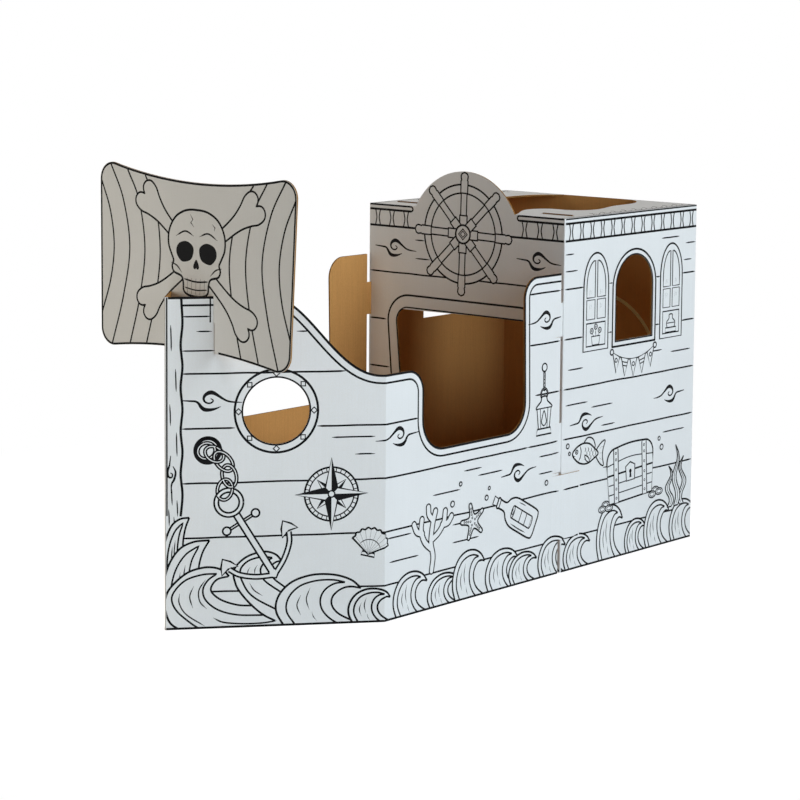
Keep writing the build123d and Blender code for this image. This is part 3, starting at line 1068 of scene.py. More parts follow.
def draw_stern(art):
    """Stern wall, seen from behind: u runs to the right."""
    for row in range(6):
        art.wavy((-316, plank_z(row)), (316, plank_z(row)), 1.0)
    for x, z, mirror in ((-236, 776, False), (160, 772, True), (-262, 524, False), (262, 398, True)):
        knot(art, x, z, 0.8 if abs(x) > 250 else 1.0, mirror)
    dashes(
        art, (-120, -40, 690), (40, 150, 800), (-300, -250, 640), (262, 306, 620), (-300, -256, 300),
        (256, 304, 520), (240, 300, 690), (-160, -90, 800),
    )
    # Stern door, shut, with its planks, straps and ring
    def door(r):
        return [(-r, ARCH_FOOT)] + arc(0, ARCH_Z, r, 180, 0) + [(r, ARCH_FOOT)]
    art.patch(door(ARCH_BAND))
    art.over()
    art.rule(evened(door(ARCH_BAND)), 1.2)
    art.rule(evened(door(ARCH_RADIUS)) + [(-ARCH_RADIUS, ARCH_FOOT)], 1.2)
    art.rule([(-ARCH_BAND - 1, ARCH_FOOT), (ARCH_BAND + 1, ARCH_FOOT)], 1.2)
    for k in range(-3, 4):
        x = k * 51.5
        art.wavy((x, ARCH_FOOT + 2), (x, ARCH_Z + math.sqrt((ARCH_RADIUS - 2) ** 2 - x * x)), 0.9)
    for z in (300, 500):
        art.shape([(-206, z - 13), (120, z - 13), (150, z), (120, z + 13), (-206, z + 13)], 1.0)
        for k in range(6):
            art.ink(ring(-186 + 58 * k, z, 4), 0.7, True)
    art.shape(ring(160, 400, 20), 1.0)
    art.ink(ring(160, 400, 12), 0.8, True)
    rails(art, -317, 317)
    # Painted shadow: inked line along the foot, where the card meets the floor
    art.rule([(-316, 1.6), (316, 1.6)], 1.0)
    balusters(art, -314, 314, 834, 877)
    compass(art, 0, 740, 62)
    waves(
        art, (-334, 118, 150), (-246, 98, 104), (-168, 108, 118), (-76, 92, 88), (2, 110, 116),
        (98, 94, 90), (176, 96, 112), (246, 100, 146),
    )


def draw_sail(art):
    """Front of the sail, seen from the bow, with z measured from the floor."""
    def top(x):
        return 1016.5 + 37 * (x / 312) ** 2
    def foot(x):
        return 636 - 28 * (x / 300) ** 2
    for side in (-1, 1):
        for a, m, b in ((277, 210, 264), (220, 160, 204), (162 if side < 0 else 180, 110, 150)):
            art.rule(curve([
                (side * a, top(a) - 5), (side * (a * 0.35 + m * 0.65), 960), (side * m, 850),
                (side * (b * 0.35 + m * 0.65), 735), (side * b, foot(b) + 5),
            ]), 1.0)
        art.rule(curve([
            (side * 307, 1000), (side * 276, 930), (side * 262, 850), (side * 272, 770),
            (side * 299, 690),
        ]), 1.0)
    # Border just inside the edge, from the middle of the foot round to it again
    corners = [(297, 612), (308.5, 1050), (-308.5, 1050), (-297, 612)]
    loop = [(x, foot(x) + 3) for x in range(0, 241, 20)] + corners[:2]
    loop += [(x, top(x) - 3) for x in range(240, -241, -20)] + corners[2:]
    loop += [(x, foot(x) + 3) for x in range(-240, 1, 20)]
    border = rounded(loop, [38 if point in corners else 0 for point in loop])
    art.ink(border[:-1], 1.1, closed=True)
    skull_and_bones(art, 6, 857)


def draw_top(art):
    """Top rim, seen from above: u aft from the front wall, v to starboard."""
    for side in (-1, 1):
        for u0, v0, u1, v1, weight in (
            (3, 316.5, 577, 316.5, 0.7), (4, 306, 576, 306, 0.8), (3.5, 316, 3.5, 182, 0.7),
            (576.5, 316, 576.5, 116, 0.7),
        ):
            art.rule([(u0, side * v0), (u1, side * v1)], weight)
        for k in range(9):
            x = 150 + 46 * k
            art.ink(curve([
                (x, side * 298), (x + 12, side * 288), (x + 24, side * 298), (x + 36, side * 288),
            ]), 0.8, taper=6)
            art.ink(ring(x + 18, side * 276, 3.4), 0.7, True)


# From flat art to the card's faces

def side_place(mirror, step=0.0):
    """Maps the unrolled side on to the hull and cabin; step is how far a tab stands out from the side."""
    def place(u, v, lift):
        if u <= BOW:
            x = PROW_X * 1000 + u * math.cos(ANGLE) - lift * math.sin(ANGLE)
            y = -u * math.sin(ANGLE) - lift * math.cos(ANGLE)
        else:
            bent = (u - (CABIN_U - TAB_START)) / (TAB_START - TAB_DONE)
            x = SHOULDER_X * 1000 + (u - BOW)
            y = -1000 * HALF - lift - step * min(1.0, max(0.0, bent))
        return Vector((x, -y if mirror else y, v)) / 1000
    return place


def front_place(u, v, lift):
    """Maps the front wall's art on to its outer face."""
    return Vector((CABIN_X * 1000 - lift, -u, v)) / 1000


def stern_place(u, v, lift):
    """Maps the stern wall's art on to its outer face."""
    return Vector((STERN_X * 1000 + lift, u, v)) / 1000


def sail_place(u, v, lift):
    """Maps the sail's art on to its front, off the middle and turned as the sail is."""
    y, z = -u, v - SAIL_MIDDLE
    c, s = math.cos(SAIL_TURN), math.sin(SAIL_TURN)
    return Vector((SAIL_LOW.x * 1000 - lift, SAIL_SHIFT + c * y - s * z, SAIL_MIDDLE + s * y + c * z)) / 1000


def top_place(u, v, lift):
    """Maps the rim's art on to the folded flaps."""
    return Vector((CABIN_X * 1000 + u, v, TOP * 1000 + lift)) / 1000


def on_tab(u, v, tabs, reach):
    """True where the unrolled side lies on one of the tabs."""
    return CABIN_U - TAB_START < u < CABIN_U + reach and any(low < v < high for low, high in tabs)


def on_inner_tab(u, v):
    """True on the tabs that pass through the cabin's corner, as far as they are seen."""
    return on_tab(u, v, INNER_TABS, -TAB_DONE)


def on_outer_tab(u, v):
    """True on the tab that laps the outside of the cabin."""
    return on_tab(u, v, (OUTER_TAB,), OUTER_REACH)


def on_plain_side(u, v):
    """True on the side away from its tabs, its folds, the floor and the gap ahead of the cabin."""
    if not PROW_MARGIN < u < STERN_U - FOLD_MARGIN or v < FLOOR_MARGIN:
        return False
    if CABIN_U - HULL_GAP < u < CABIN_U + FOLD_MARGIN:
        return False
    return not on_inner_tab(u, v) and not on_outer_tab(u, v)


def on_wall(u, v):
    """True on an end wall away from its folds and the floor."""
    return abs(u) < WALL_EDGE and v > FLOOR_MARGIN


def clear_of_door(u, v):
    """True on the front wall outside its doorway, which widens upwards to two rounded corners."""
    if not on_wall(u, v):
        return False
    if v > DOOR_TOP - DOOR_CORNER and abs(u) > DOOR_CORNER_U:
        return math.dist((abs(u), v), (DOOR_CORNER_U, DOOR_TOP - DOOR_CORNER)) > DOOR_CORNER
    half = DOOR_HALF + DOOR_FLARE * (v - DOOR_SILL) / (DOOR_TOP - DOOR_SILL) - DOOR_OVERLAP
    return not (DOOR_SILL < v < DOOR_TOP and abs(u) < half)


def clear_of_slots(u, v):
    """True on the sail outside the slots that drop over the bow panels."""
    return not (SLOT_INNER < abs(u) < SLOT_OUTER and v < SLOT_TOP)


def on_rim(u, v):
    """True all over: the rim's art is drawn on its flaps only."""
    return True


# Where print is cut, so that no face of it crosses a fold or an edge: (0, u) or (1, v)
SIDE_CUTS = [(0, u) for u in (
    BOW, CABIN_U - TAB_START, CABIN_U - HULL_GAP, CABIN_U - TAB_DONE, CABIN_U + FOLD_MARGIN,
    CABIN_U + OUTER_REACH, PROW_MARGIN, STERN_U - FOLD_MARGIN,
)]
SIDE_CUTS += [(1, FLOOR_MARGIN)] + [(1, v) for tab in (*INNER_TABS, OUTER_TAB) for v in tab]
WALL_CUTS = [(0, WALL_EDGE), (0, -WALL_EDGE), (1, FLOOR_MARGIN)]
SAIL_CUTS = [(0, u) for u in (-SLOT_OUTER, -SLOT_INNER, SLOT_INNER, SLOT_OUTER)] + [(1, SLOT_TOP)]

# The areas of the side, each with how far it stands out from the side, in millimetres
SIDE_AREAS = ((on_plain_side, 0.0), (on_inner_tab, -1000 * CARD), (on_outer_tab, 1000 * CARD))


def settle(name, parts, look, flip=False):
    """Builds one print piece from (art, place, cuts, keep) parts and lets it ride with the ship."""
    whole = bmesh.new()
    for art, place, cuts, keep in parts:
        flat = bmesh.new()
        for points, lift, kind in art.faces:
            face = flat.faces.new([flat.verts.new((p[0], p[1], lift)) for p in points])
            face.material_index = kind
        for axis, value in cuts:
            normal = Vector((0, 1, 0) if axis else (1, 0, 0))
            geom = flat.verts[:] + flat.edges[:] + flat.faces[:]
            bmesh.ops.bisect_plane(flat, geom=geom, plane_co=value * normal, plane_no=normal, dist=1e-5)
        gone = [f for f in flat.faces if not keep(*f.calc_center_median()[:2])]
        bmesh.ops.delete(flat, geom=gone, context="FACES")
        if flip:
            bmesh.ops.reverse_faces(flat, faces=flat.faces[:])
        for v in flat.verts:
            v.co = place(*v.co)
        part = bpy.data.meshes.new("part")
        flat.to_mesh(part)
        flat.free()
        whole.from_mesh(part)
        bpy.data.meshes.remove(part)
    mesh = bpy.data.meshes.new(name)
    whole.to_mesh(mesh)
    whole.free()
    if not mesh.polygons:
        raise RuntimeError(f"{name} came out empty")
    for kind in PRINT_KINDS:
        mesh.materials.append(shared(kind, look))
    obj = bpy.data.objects.new(name, mesh)
    bpy.context.scene.collection.objects.link(obj)
    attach(obj, "root")


# Materials

PRINT_KINDS = ("print_ink", "card_white")
# The last kind is painted light in the stern door's crease
SHEET_KINDS = ("card_white", "card_brown", "card_edge", "card_crease_light")
WHITE = (1, 1, 1)

# Cut edge of the card, in millimetres across it; outside the flute and the liners it is painted shade
CARD_MIDDLE = 2.0
FLUTE_SWING = 1.35
FLUTE_HALF = 0.34
LINER_START = 1.55


class Graph:
    """Short ways to add nodes to the tree of a material or of the world."""

    def __init__(self, tree):
        self.nodes = tree.nodes
        self.links = tree.links

    def feed(self, socket, value):
        """Links a socket to an output, or sets it to a plain value."""
        if hasattr(value, "links"):
            self.links.new(value, socket)
        else:
            socket.default_value = value

    def noise(self, coords, scale, detail=3.0, stretch=(1, 1, 1), rough=0.5):
        """Noise over the piece's own coordinates, finer along an axis that has more stretch."""
        mapping = self.nodes.new("ShaderNodeMapping")
        mapping.inputs["Scale"].default_value = stretch
        self.links.new(coords, mapping.inputs["Vector"])
        texture = self.nodes.new("ShaderNodeTexNoise")
        for name, value in (("Scale", scale), ("Detail", detail), ("Roughness", rough)):
            texture.inputs[name].default_value = value
        self.links.new(mapping.outputs["Vector"], texture.inputs["Vector"])
        return texture.outputs["Fac"]

    def ramp(self, value, stops):
        """Colour ramp with a colour at each stop."""
        node = self.nodes.new("ShaderNodeValToRGB")
        elements = node.color_ramp.elements
        for element, (at, colour) in zip(elements, stops):
            element.position = at
            element.color = (*colour, 1)
        self.links.new(value, node.inputs["Fac"])
        return node.outputs["Color"]

    def mixed(self, a, b, factor, blend="MIX"):
        """Colours a and b mixed, or blended in another way."""
        node = self.nodes.new("ShaderNodeMix")
        node.data_type = "RGBA"
        node.blend_type = blend
        self.feed(node.inputs["A"], a)
        self.feed(node.inputs["B"], b)
        self.feed(node.inputs["Factor"], factor)
        return node.outputs["Result"]

    def maths(self, kind, *values):
        """Result of one sum on one or two values."""
        node = self.nodes.new("ShaderNodeMath")
        node.operation = kind
        for socket, value in zip(node.inputs, values):
            self.feed(socket, value)
        return node.outputs["Value"]

    def sheet(self):
        """Millimetres along and across the sheet, from its UV."""
        uv = self.nodes.new("ShaderNodeUVMap")
        uv.uv_map = "sheet"
        split = self.nodes.new("ShaderNodeSeparateXYZ")
        self.links.new(uv.outputs["UV"], split.inputs["Vector"])
        return split.outputs["X"], split.outputs["Y"]

    def bump(self, shader, height, strength, distance):
        """Lets the shader's surface stand up by a height."""
        node = self.nodes.new("ShaderNodeBump")
        node.inputs["Strength"].default_value = strength
        node.inputs["Distance"].default_value = distance
        self.links.new(height, node.inputs["Height"])
        self.links.new(node.outputs["Normal"], shader.inputs["Normal"])

    def seen(self):
        """1 where the camera looks, straight or by way of gloss or glass, and 0 for other light."""
        path = self.nodes.new("ShaderNodeLightPath")
        seen = self.maths("MAXIMUM", path.outputs["Is Camera Ray"], path.outputs["Is Glossy Ray"])
        return self.maths("MAXIMUM", seen, path.outputs["Is Transmission Ray"])


def new_material(name, roughness, specular):
    """A new material, its graph and its shader."""
    mat = bpy.data.materials.new(name)
    mat.use_nodes = True
    graph = Graph(mat.node_tree)
    shader = graph.nodes["Principled BSDF"]
    shader.inputs["Roughness"].default_value = roughness
    shader.inputs["Specular IOR Level"].default_value = specular
    return mat, graph, shader


def scaled(colour, k):
    """A colour made lighter or darker."""
    return tuple(min(1.0, c * k) for c in colour[:3])


def flute_angle(graph, along, look):
    """Angle that turns once for each flute along the sheet."""
    return graph.maths("MULTIPLY", along, 2 * math.pi / (look.flute_pitch * 1000))


def card_surface(name, colour, look, fibre, roughness):
    """Paper liner over flutes: fibre cloud, upright streaks and a faint washboard."""
    mat, graph, shader = new_material(name, roughness, 0.32)
    coords = graph.nodes.new("ShaderNodeTexCoord").outputs["Object"]
    cloud = graph.noise(coords, 6.0, 4.0)
    streak = graph.noise(coords, 1.0, 3.0, (260, 260, 7))
    speck = graph.noise(coords, 900.0, 2.0, (1, 1, 0.35), 0.7)
    base = graph.ramp(cloud, ((0.3, scaled(colour, 0.972)), (0.7, scaled(colour, 1.012))))
    tone = graph.ramp(streak, ((0.3, scaled(WHITE, 1 - fibre)), (0.7, WHITE)))
    base = graph.mixed(base, tone, 1.0, "MULTIPLY")
    fleck = graph.ramp(speck, ((0.35, scaled((1, 0.98, 0.95), 1 - 1.3 * fibre)), (0.6, WHITE)))
    base = graph.mixed(base, fleck, 1.0, "MULTIPLY")
    graph.links.new(base, shader.inputs["Base Color"])
    along, _ = graph.sheet()
    flute = graph.maths("SINE", flute_angle(graph, along, look))
    height = graph.maths("MULTIPLY", flute, look.washboard * 1000)
    height = graph.maths("ADD", height, graph.maths("MULTIPLY", streak, 0.02))
    height = graph.maths("ADD", height, graph.maths("MULTIPLY", speck, 0.012))
    graph.bump(shader, height, 0.6, 0.001)
    return mat


def edge_surface(look):
    """Cut edge of the card: two liners with the wavy flute between them, and painted shade in the open
    hollows between.
    """
    mat, graph, shader = new_material("card_edge", 0.9, 0.1)
    along, across = graph.sheet()
    wave_line = graph.maths("MULTIPLY", graph.maths("SINE", flute_angle(graph, along, look)), FLUTE_SWING)
    height = graph.maths("SUBTRACT", across, CARD_MIDDLE)
    off = graph.maths("ABSOLUTE", graph.maths("SUBTRACT", height, wave_line))
    medium = graph.maths("LESS_THAN", off, FLUTE_HALF)
    liner = graph.maths("GREATER_THAN", graph.maths("ABSOLUTE", height), LINER_START)
    solid = graph.maths("MAXIMUM", medium, liner)
    coords = graph.nodes.new("ShaderNodeTexCoord").outputs["Object"]
    fuzz = graph.noise(coords, 700.0, 3.0, (1, 1, 1), 0.7)
    paper = graph.ramp(fuzz, ((0.3, scaled(look.kraft, 0.82)), (0.7, scaled(look.kraft, 1.25))))
    # Painted shade: the open hollows between flute and liners are coloured dark for the shade inside them
    hollow = graph.ramp(fuzz, ((0.3, scaled(look.kraft, 0.2)), (0.7, scaled(look.kraft, 0.34))))
    graph.links.new(graph.mixed(hollow, paper, solid), shader.inputs["Base Color"])
    rough_edge = graph.maths("ADD", solid, graph.maths("MULTIPLY", fuzz, 0.5))
    graph.bump(shader, rough_edge, 0.7, 0.0008)
    return mat


def ink_surface(look):
    """Black print, slightly uneven where the card shows through."""
    mat, graph, shader = new_material("print_ink", 0.62, 0.08)
    coords = graph.nodes.new("ShaderNodeTexCoord").outputs["Object"]
    mottle = graph.noise(coords, 420.0, 3.0, (1, 1, 1), 0.7)
    tone = graph.ramp(mottle, ((0.35, scaled(look.ink, 0.8)), (0.75, scaled(look.ink, 1.9))))
    graph.links.new(tone, shader.inputs["Base Color"])
    return mat


def shared(kind, look):
    """One material of each kind, made when it is first wanted."""
    found = bpy.data.materials.get(kind)
    if found:
        return found
    if kind == "card_edge":
        return edge_surface(look)
    if kind == "print_ink":
        return ink_surface(look)
    colour, fibre, roughness = {
        "card_white": (look.paper, 0.02, 0.62),
        "card_brown": (look.kraft, 0.09, 0.85),
        # The crease colour is painted light showing through the stern door's cut
        "card_crease_light": (look.crease_light, 0.06, 0.7),
    }[kind]
    return card_surface(kind, colour, look, fibre, roughness)


# Sheets: which side of the card each face shows

FACING = 0.7


def side_shown(facing):
    """1 for the white outside, -1 for the brown inside and 0 for a cut edge."""
    if facing > FACING:
        return 1
    return -1 if facing < -FACING else 0


def hull_face(c, n):
    """(side, along, across) of a point on the hull with a normal, in millimetres."""
    s = 1 if c.y > 0 else -1
    if c.x < SHOULDER_X:
        out = Vector((-math.sin(ANGLE), s * math.cos(ANGLE), 0))
        along = ((c.x - PROW_X) * math.cos(ANGLE) + abs(c.y) * math.sin(ANGLE)) * 1000
        across = ((c.x - PROW_X) * math.sin(ANGLE) - abs(c.y) * math.cos(ANGLE)) * 1000
    else:
        out = Vector((0, s, 0))
        along = BOW + (c.x - SHOULDER_X) * 1000
        across = (HALF - abs(c.y)) * 1000
        if c.x > CABIN_X - TABS_FROM:
            across = across % (1000 * CARD)
    return side_shown(n.dot(out)), along, across


def cabin_face(c, n):
    """(side, along, across) of a point on the cabin with a normal, in millimetres."""
    gaps = (c.x - CABIN_X, STERN_X - c.x, HALF - abs(c.y))
    in_flaps = c.z > TOP - FLAP_DEPTH and min(gaps) > FLAP_START
    on_rim_top = TOP - TOUCH < c.z < TOP + TONGUE_RISE and n.z > FACING
    if in_flaps or on_rim_top:
        along = (c.y if abs(n.x) > abs(n.y) else c.x) * 1000
        return side_shown(n.z), along, (TOP - c.z) * 1000 % (1000 * CARD)
    near = gaps.index(min(gaps))
    out = (Vector((-1, 0, 0)), Vector((1, 0, 0)), Vector((0, 1 if c.y > 0 else -1, 0)))[near]
    facing = n.dot(out)
    at_corner = sorted(gaps)[1] < FOLD and abs(n.z) < 0.5
    if at_corner and not (abs(n.x) > 0.99 or abs(n.y) > 0.99):
        facing = 1
    along = (c.x if near == 2 else c.y) * 1000
    return side_shown(facing), along, gaps[near] * 1000


def sail_face(c, n):
    """(side, along, across) of a point on the sail with a normal, in millimetres."""
    return side_shown(-n.x), c.y * 1000, (c.x - SAIL_LOW.x) * 1000


def dress(node, face_of, look):
    """Gives a CAD sheet its card materials and a UV of millimetres along and across the sheet."""
    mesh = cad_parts[node].data
    mesh.materials.clear()
    for kind in SHEET_KINDS:
        mesh.materials.append(shared(kind, look))
    layer = mesh.uv_layers.get("sheet") or mesh.uv_layers.new(name="sheet")
    for poly in mesh.polygons:
        side, _, across = face_of(poly.center, poly.normal)
        kind = {1: "card_white", -1: "card_brown", 0: "card_edge"}[side]
        # Painted light: inner faces sunk into the stern door's crease get a pale colour for light showing
        # through the door's cut
        if node == "cabin_stern" and side == -1 and across < 1000 * CARD - LIT_CREASE_DEPTH:
            kind = "card_crease_light"
        poly.material_index = SHEET_KINDS.index(kind)
        for loop in poly.loop_indices:
            co = mesh.vertices[mesh.loops[loop].vertex_index].co
            _, along, across = face_of(co.lerp(poly.center, 0.001), poly.normal)
            layer.data[loop].uv = (along, across if side == 0 else co.z * 1000)


# Studio

# Lights: name, place, aim, size, share of the key's power and colour
LAMPS = (
    ("key", (-0.35, -6.2, 2.2), (0, 0, 0.45), (2.8, 3.0), 1.0, (0.84, 0.93, 1.0)),
    ("far side", (0.5, 4.6, 3.0), (0.1, 0, 0.5), (3.0, 2.0), 0.5, (1.0, 0.92, 0.83)),
    ("bow", (-2.4, 0.7, 1.0), (-0.7, 0, 0.8), (1.0, 1.0), 0.032, (1.0, 0.92, 0.78)),
)
AMBIENT_COLOUR = (1.0, 0.87, 0.71, 1)
PLAIN_WHITE = (1, 1, 1, 1)

# Floor: half its width and how far it lies under the ship, in metres, how much it glows to the camera,
# and where it starts to fade to plain white, as a share of the shadow's reach
FLOOR_REACH = 30.0
FLOOR_GAP = 0.0005
FLOOR_GLOW = 0.74
FADE_START = 0.55

# Camera: place in cabin widths from the middle of the front wall's foot, then yaw, pitch and roll in degrees
CABIN_WIDTH = 0.64
CAMERA_PLACE = (-8.066, -6.503, 2.324)
CAMERA_TURN = (49.714, 6.025, 0.479)
CAMERA_SHIFT = -0.1875


def build_floor(scene, studio):
    """Wide pale floor that stays near white to the camera and keeps the ship's shadow."""
    mesh = bpy.data.meshes.new("floor")
    corners = [(FLOOR_REACH * x, FLOOR_REACH * y, 0) for x, y in ((-1, -1), (1, -1), (1, 1), (-1, 1))]
    mesh.from_pydata(corners, [], [(0, 1, 2, 3)])
    floor = bpy.data.objects.new("floor", mesh)
    scene.collection.objects.link(floor)
    floor.location.z = -FLOOR_GAP
    mat, graph, shader = new_material("floor", 0.9, 0.0)
    shader.inputs["Base Color"].default_value = (*studio.floor, 1)
    nodes, links = graph.nodes, graph.links
    seen = graph.seen()
    near = nodes.new("ShaderNodeEmission")
    near.inputs["Color"].default_value = PLAIN_WHITE
    links.new(graph.maths("MULTIPLY", seen, FLOOR_GLOW), near.inputs["Strength"])
    add = nodes.new("ShaderNodeAddShader")
    links.new(shader.outputs["BSDF"], add.inputs[0])
    links.new(near.outputs["Emission"], add.inputs[1])
    far = nodes.new("ShaderNodeEmission")
    far.inputs["Color"].default_value = PLAIN_WHITE
    length = nodes.new("ShaderNodeVectorMath")
    length.operation = "LENGTH"
    links.new(nodes.new("ShaderNodeTexCoord").outputs["Object"], length.inputs[0])
    fade = nodes.new("ShaderNodeMapRange")
    fade.interpolation_type = "SMOOTHSTEP"
    links.new(length.outputs["Value"], fade.inputs["Value"])
    fade.inputs["From Min"].default_value = studio.shadow_reach * FADE_START
    fade.inputs["From Max"].default_value = studio.shadow_reach
    mix = nodes.new("ShaderNodeMixShader")
    links.new(graph.maths("MULTIPLY", fade.outputs["Result"], seen), mix.inputs["Fac"])
    links.new(add.outputs["Shader"], mix.inputs[1])
    links.new(far.outputs["Emission"], mix.inputs[2])
    links.new(mix.outputs["Shader"], nodes["Material Output"].inputs["Surface"])
    mesh.materials.append(mat)


def build_lights(scene, studio):
    """Even warm light all round, a big cool one to port, and warm ones on the far side and at the bow."""
    world = bpy.data.worlds.new("studio")
    scene.world = world
    world.use_nodes = True
    graph = Graph(world.node_tree)
    back = graph.nodes["Background"]
    seen = graph.seen()
    graph.links.new(graph.mixed(AMBIENT_COLOUR, PLAIN_WHITE, seen), back.inputs["Color"])
    strength = graph.nodes.new("ShaderNodeMix")
    strength.data_type = "FLOAT"
    strength.inputs["A"].default_value = studio.ambient
    strength.inputs["B"].default_value = 1.0
    graph.links.new(seen, strength.inputs["Factor"])
    graph.links.new(strength.outputs["Result"], back.inputs["Strength"])
    for name, place, aim, size, share, colour in LAMPS:
        data = bpy.data.lights.new(name, "AREA")
        data.shape = "RECTANGLE"
        data.size, data.size_y = size
        data.energy = studio.key_power * share
        data.color = colour
        light = bpy.data.objects.new(name, data)
        scene.collection.objects.link(light)
        light.location = place
        light.rotation_euler = (Vector(aim) - Vector(place)).to_track_quat("-Z", "Y").to_euler()


def build_camera(scene, studio):
    """Camera where the photograph was taken from."""
    data = bpy.data.cameras.new("camera")
    data.sensor_width = 36.0
    data.lens = studio.lens
    data.shift_y = CAMERA_SHIFT
    camera = bpy.data.objects.new("camera", data)
    scene.collection.objects.link(camera)
    camera.location = Vector(CAMERA_PLACE) * CABIN_WIDTH + Vector((CABIN_X, 0, 0))
    yaw, pitch, roll = (math.radians(angle) for angle in CAMERA_TURN)
    ahead = Vector((math.cos(pitch) * math.sin(yaw), math.cos(pitch) * math.cos(yaw), -math.sin(pitch)))
    camera.rotation_mode = "QUATERNION"
    camera.rotation_quaternion = ahead.to_track_quat("-Z", "Y") @ Quaternion((0, 0, 1), roll)
    scene.camera = camera
    scene.view_settings.view_transform = "Standard"


# Settings

class PlayShipLook(bpy.types.PropertyGroup):
    """Colours and sizes of the card and its print"""
    paper: bpy.props.FloatVectorProperty(
        name="Paper", description="Colour of the white outer face", subtype="COLOR", size=3, min=0, max=1,
        default=(0.80, 0.815, 0.825))
    kraft: bpy.props.FloatVectorProperty(
        name="Kraft", description="Colour of the brown inner face", subtype="COLOR", size=3, min=0, max=1,
        default=(0.62, 0.32, 0.10))
    # Painted light: pale colour of the stern door's crease, for light showing through the door's cut
    crease_light: bpy.props.FloatVectorProperty(
        name="Creased", description="Colour of the crushed board in the stern door's crease", subtype="COLOR",
        size=3, min=0, max=1, default=(0.84, 0.80, 0.50))
    ink: bpy.props.FloatVectorProperty(
        name="Ink", description="Colour of the line print", subtype="COLOR", size=3, min=0, max=1,
        default=(0.004, 0.004, 0.0045))
    line_width: bpy.props.FloatProperty(
        name="Line width", description="Width of an ordinary printed line", subtype="DISTANCE", unit="LENGTH",
        min=0.0005, max=0.01, default=0.0043)
    flute_pitch: bpy.props.FloatProperty(
        name="Flute pitch", description="Distance from flute to flute", subtype="DISTANCE", unit="LENGTH",
        min=0.002, max=0.02, default=0.0075)
    washboard: bpy.props.FloatProperty(
        name="Washboard", description="How far the flutes show through the paper", subtype="DISTANCE",
        unit="LENGTH", min=0, max=0.001, default=0.00003)


class PlayShipStudio(bpy.types.PropertyGroup):
    """Floor, lights and camera"""
    floor: bpy.props.FloatVectorProperty(
        name="Floor", description="Colour of the floor", subtype="COLOR", size=3, min=0, max=1,
        default=(0.76, 0.76, 0.76))
    key_power: bpy.props.FloatProperty(
        name="Key power", description="Power of the big soft light", unit="POWER", min=0, max=5000,
        default=326)
    ambient: bpy.props.FloatProperty(
        name="Ambient", description="Strength of the even light all round", min=0, max=5, default=0.08)
    shadow_reach: bpy.props.FloatProperty(
        name="Shadow reach", description="How far from the ship the floor fades to plain white",
        subtype="DISTANCE", unit="LENGTH", min=0.5, max=20, default=2.0)
    lens: bpy.props.FloatProperty(
        name="Lens", description="Focal length of the camera", subtype="DISTANCE_CAMERA", unit="CAMERA",
        min=10, max=400, default=117.6)


# Steps

class PLAYSHIP_OT_sheets(bpy.types.Operator):
    """Give the three folded sheets their white, brown and cut-edge card"""
    bl_idname = "playship.sheets"
    bl_label = "Dress Sheets"

    def execute(self, context):
        look = context.scene.play_ship_look
        dress("hull", hull_face, look)
        for node in CABIN_NODES:
            dress(node, cabin_face, look)
        dress("sail", sail_face, look)
        return {"FINISHED"}


class PLAYSHIP_OT_print_sides(bpy.types.Operator):
    """Print both sides of the ship, from the prow to the stern"""
    bl_idname = "playship.print_sides"
    bl_label = "Print Sides"

    def execute(self, context):
        look = context.scene.play_ship_look
        art = Flat(look)
        draw_side(art)
        for name, mirror in (("print_port", False), ("print_starboard", True)):
            parts = [(art, side_place(mirror, step), SIDE_CUTS, keep) for keep, step in SIDE_AREAS]
            settle(name, parts, look, flip=mirror)
        return {"FINISHED"}


class PLAYSHIP_OT_print_cabin(bpy.types.Operator):
    """Print the cabin's front wall with its wheel, the stern wall and the top rim"""
    bl_idname = "playship.print_cabin"
    bl_label = "Print Cabin"

    def execute(self, context):
        look = context.scene.play_ship_look
        for name, draw, place, cuts, keep in (
            ("print_front", draw_front, front_place, WALL_CUTS, clear_of_door),
            ("print_stern", draw_stern, stern_place, WALL_CUTS, on_wall),
            ("print_top", draw_top, top_place, (), on_rim),
        ):
            art = Flat(look)
            draw(art)
            settle(name, [(art, place, cuts, keep)], look)
        return {"FINISHED"}


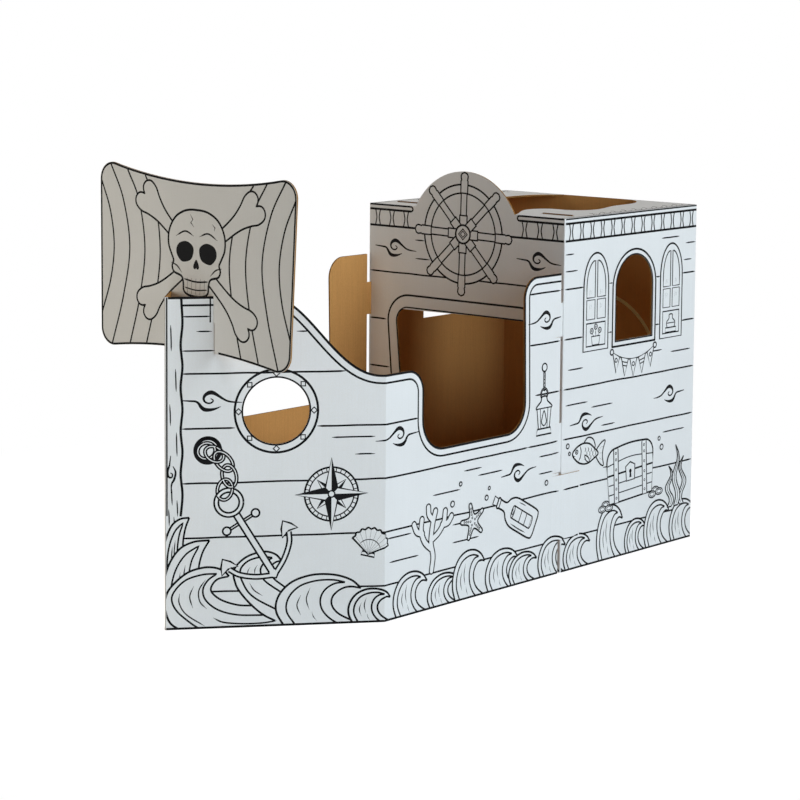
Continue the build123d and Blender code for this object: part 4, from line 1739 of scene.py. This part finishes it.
class PLAYSHIP_OT_print_sail(bpy.types.Operator):
    """Print the sail's stripes, skull and crossed bones"""
    bl_idname = "playship.print_sail"
    bl_label = "Print Sail"

    def execute(self, context):
        look = context.scene.play_ship_look
        art = Flat(look)
        draw_sail(art)
        settle("print_sail", [(art, sail_place, SAIL_CUTS, clear_of_slots)], look)
        return {"FINISHED"}


class PLAYSHIP_OT_studio(bpy.types.Operator):
    """Set up the floor, the lights and the camera"""
    bl_idname = "playship.studio"
    bl_label = "Set Up Studio"

    def execute(self, context):
        scene = context.scene
        studio = scene.play_ship_studio
        build_floor(scene, studio)
        build_lights(scene, studio)
        build_camera(scene, studio)
        return {"FINISHED"}


class PLAYSHIP_PT_panel(bpy.types.Panel):
    """Sidebar panel with the settings and steps"""
    bl_idname = "PLAYSHIP_PT_panel"
    bl_label = "Play Ship"
    bl_space_type = "VIEW_3D"
    bl_region_type = "UI"
    bl_category = "Play Ship"

    def draw(self, context):
        layout = self.layout
        look = context.scene.play_ship_look
        studio = context.scene.play_ship_studio
        for name in ("paper", "kraft", "crease_light", "ink", "line_width", "flute_pitch", "washboard"):
            layout.prop(look, name)
        for operator in STEPS[:-1]:
            layout.operator(operator.bl_idname)
        for name in ("floor", "key_power", "ambient", "shadow_reach", "lens"):
            layout.prop(studio, name)
        layout.operator(STEPS[-1].bl_idname)


STEPS = (
    PLAYSHIP_OT_sheets, PLAYSHIP_OT_print_sides, PLAYSHIP_OT_print_cabin, PLAYSHIP_OT_print_sail,
    PLAYSHIP_OT_studio,
)
CLASSES = (PlayShipLook, PlayShipStudio) + STEPS + (PLAYSHIP_PT_panel,)


def register():
    for cls in CLASSES:
        bpy.utils.register_class(cls)
    bpy.types.Scene.play_ship_look = bpy.props.PointerProperty(type=PlayShipLook)
    bpy.types.Scene.play_ship_studio = bpy.props.PointerProperty(type=PlayShipStudio)


def unregister():
    del bpy.types.Scene.play_ship_studio
    del bpy.types.Scene.play_ship_look
    for cls in reversed(CLASSES):
        bpy.utils.unregister_class(cls)


def main():
    """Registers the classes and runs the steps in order."""
    register()
    bpy.ops.playship.sheets()
    bpy.ops.playship.print_sides()
    bpy.ops.playship.print_cabin()
    bpy.ops.playship.print_sail()
    bpy.ops.playship.studio()


if __name__ == "__main__":
    main()
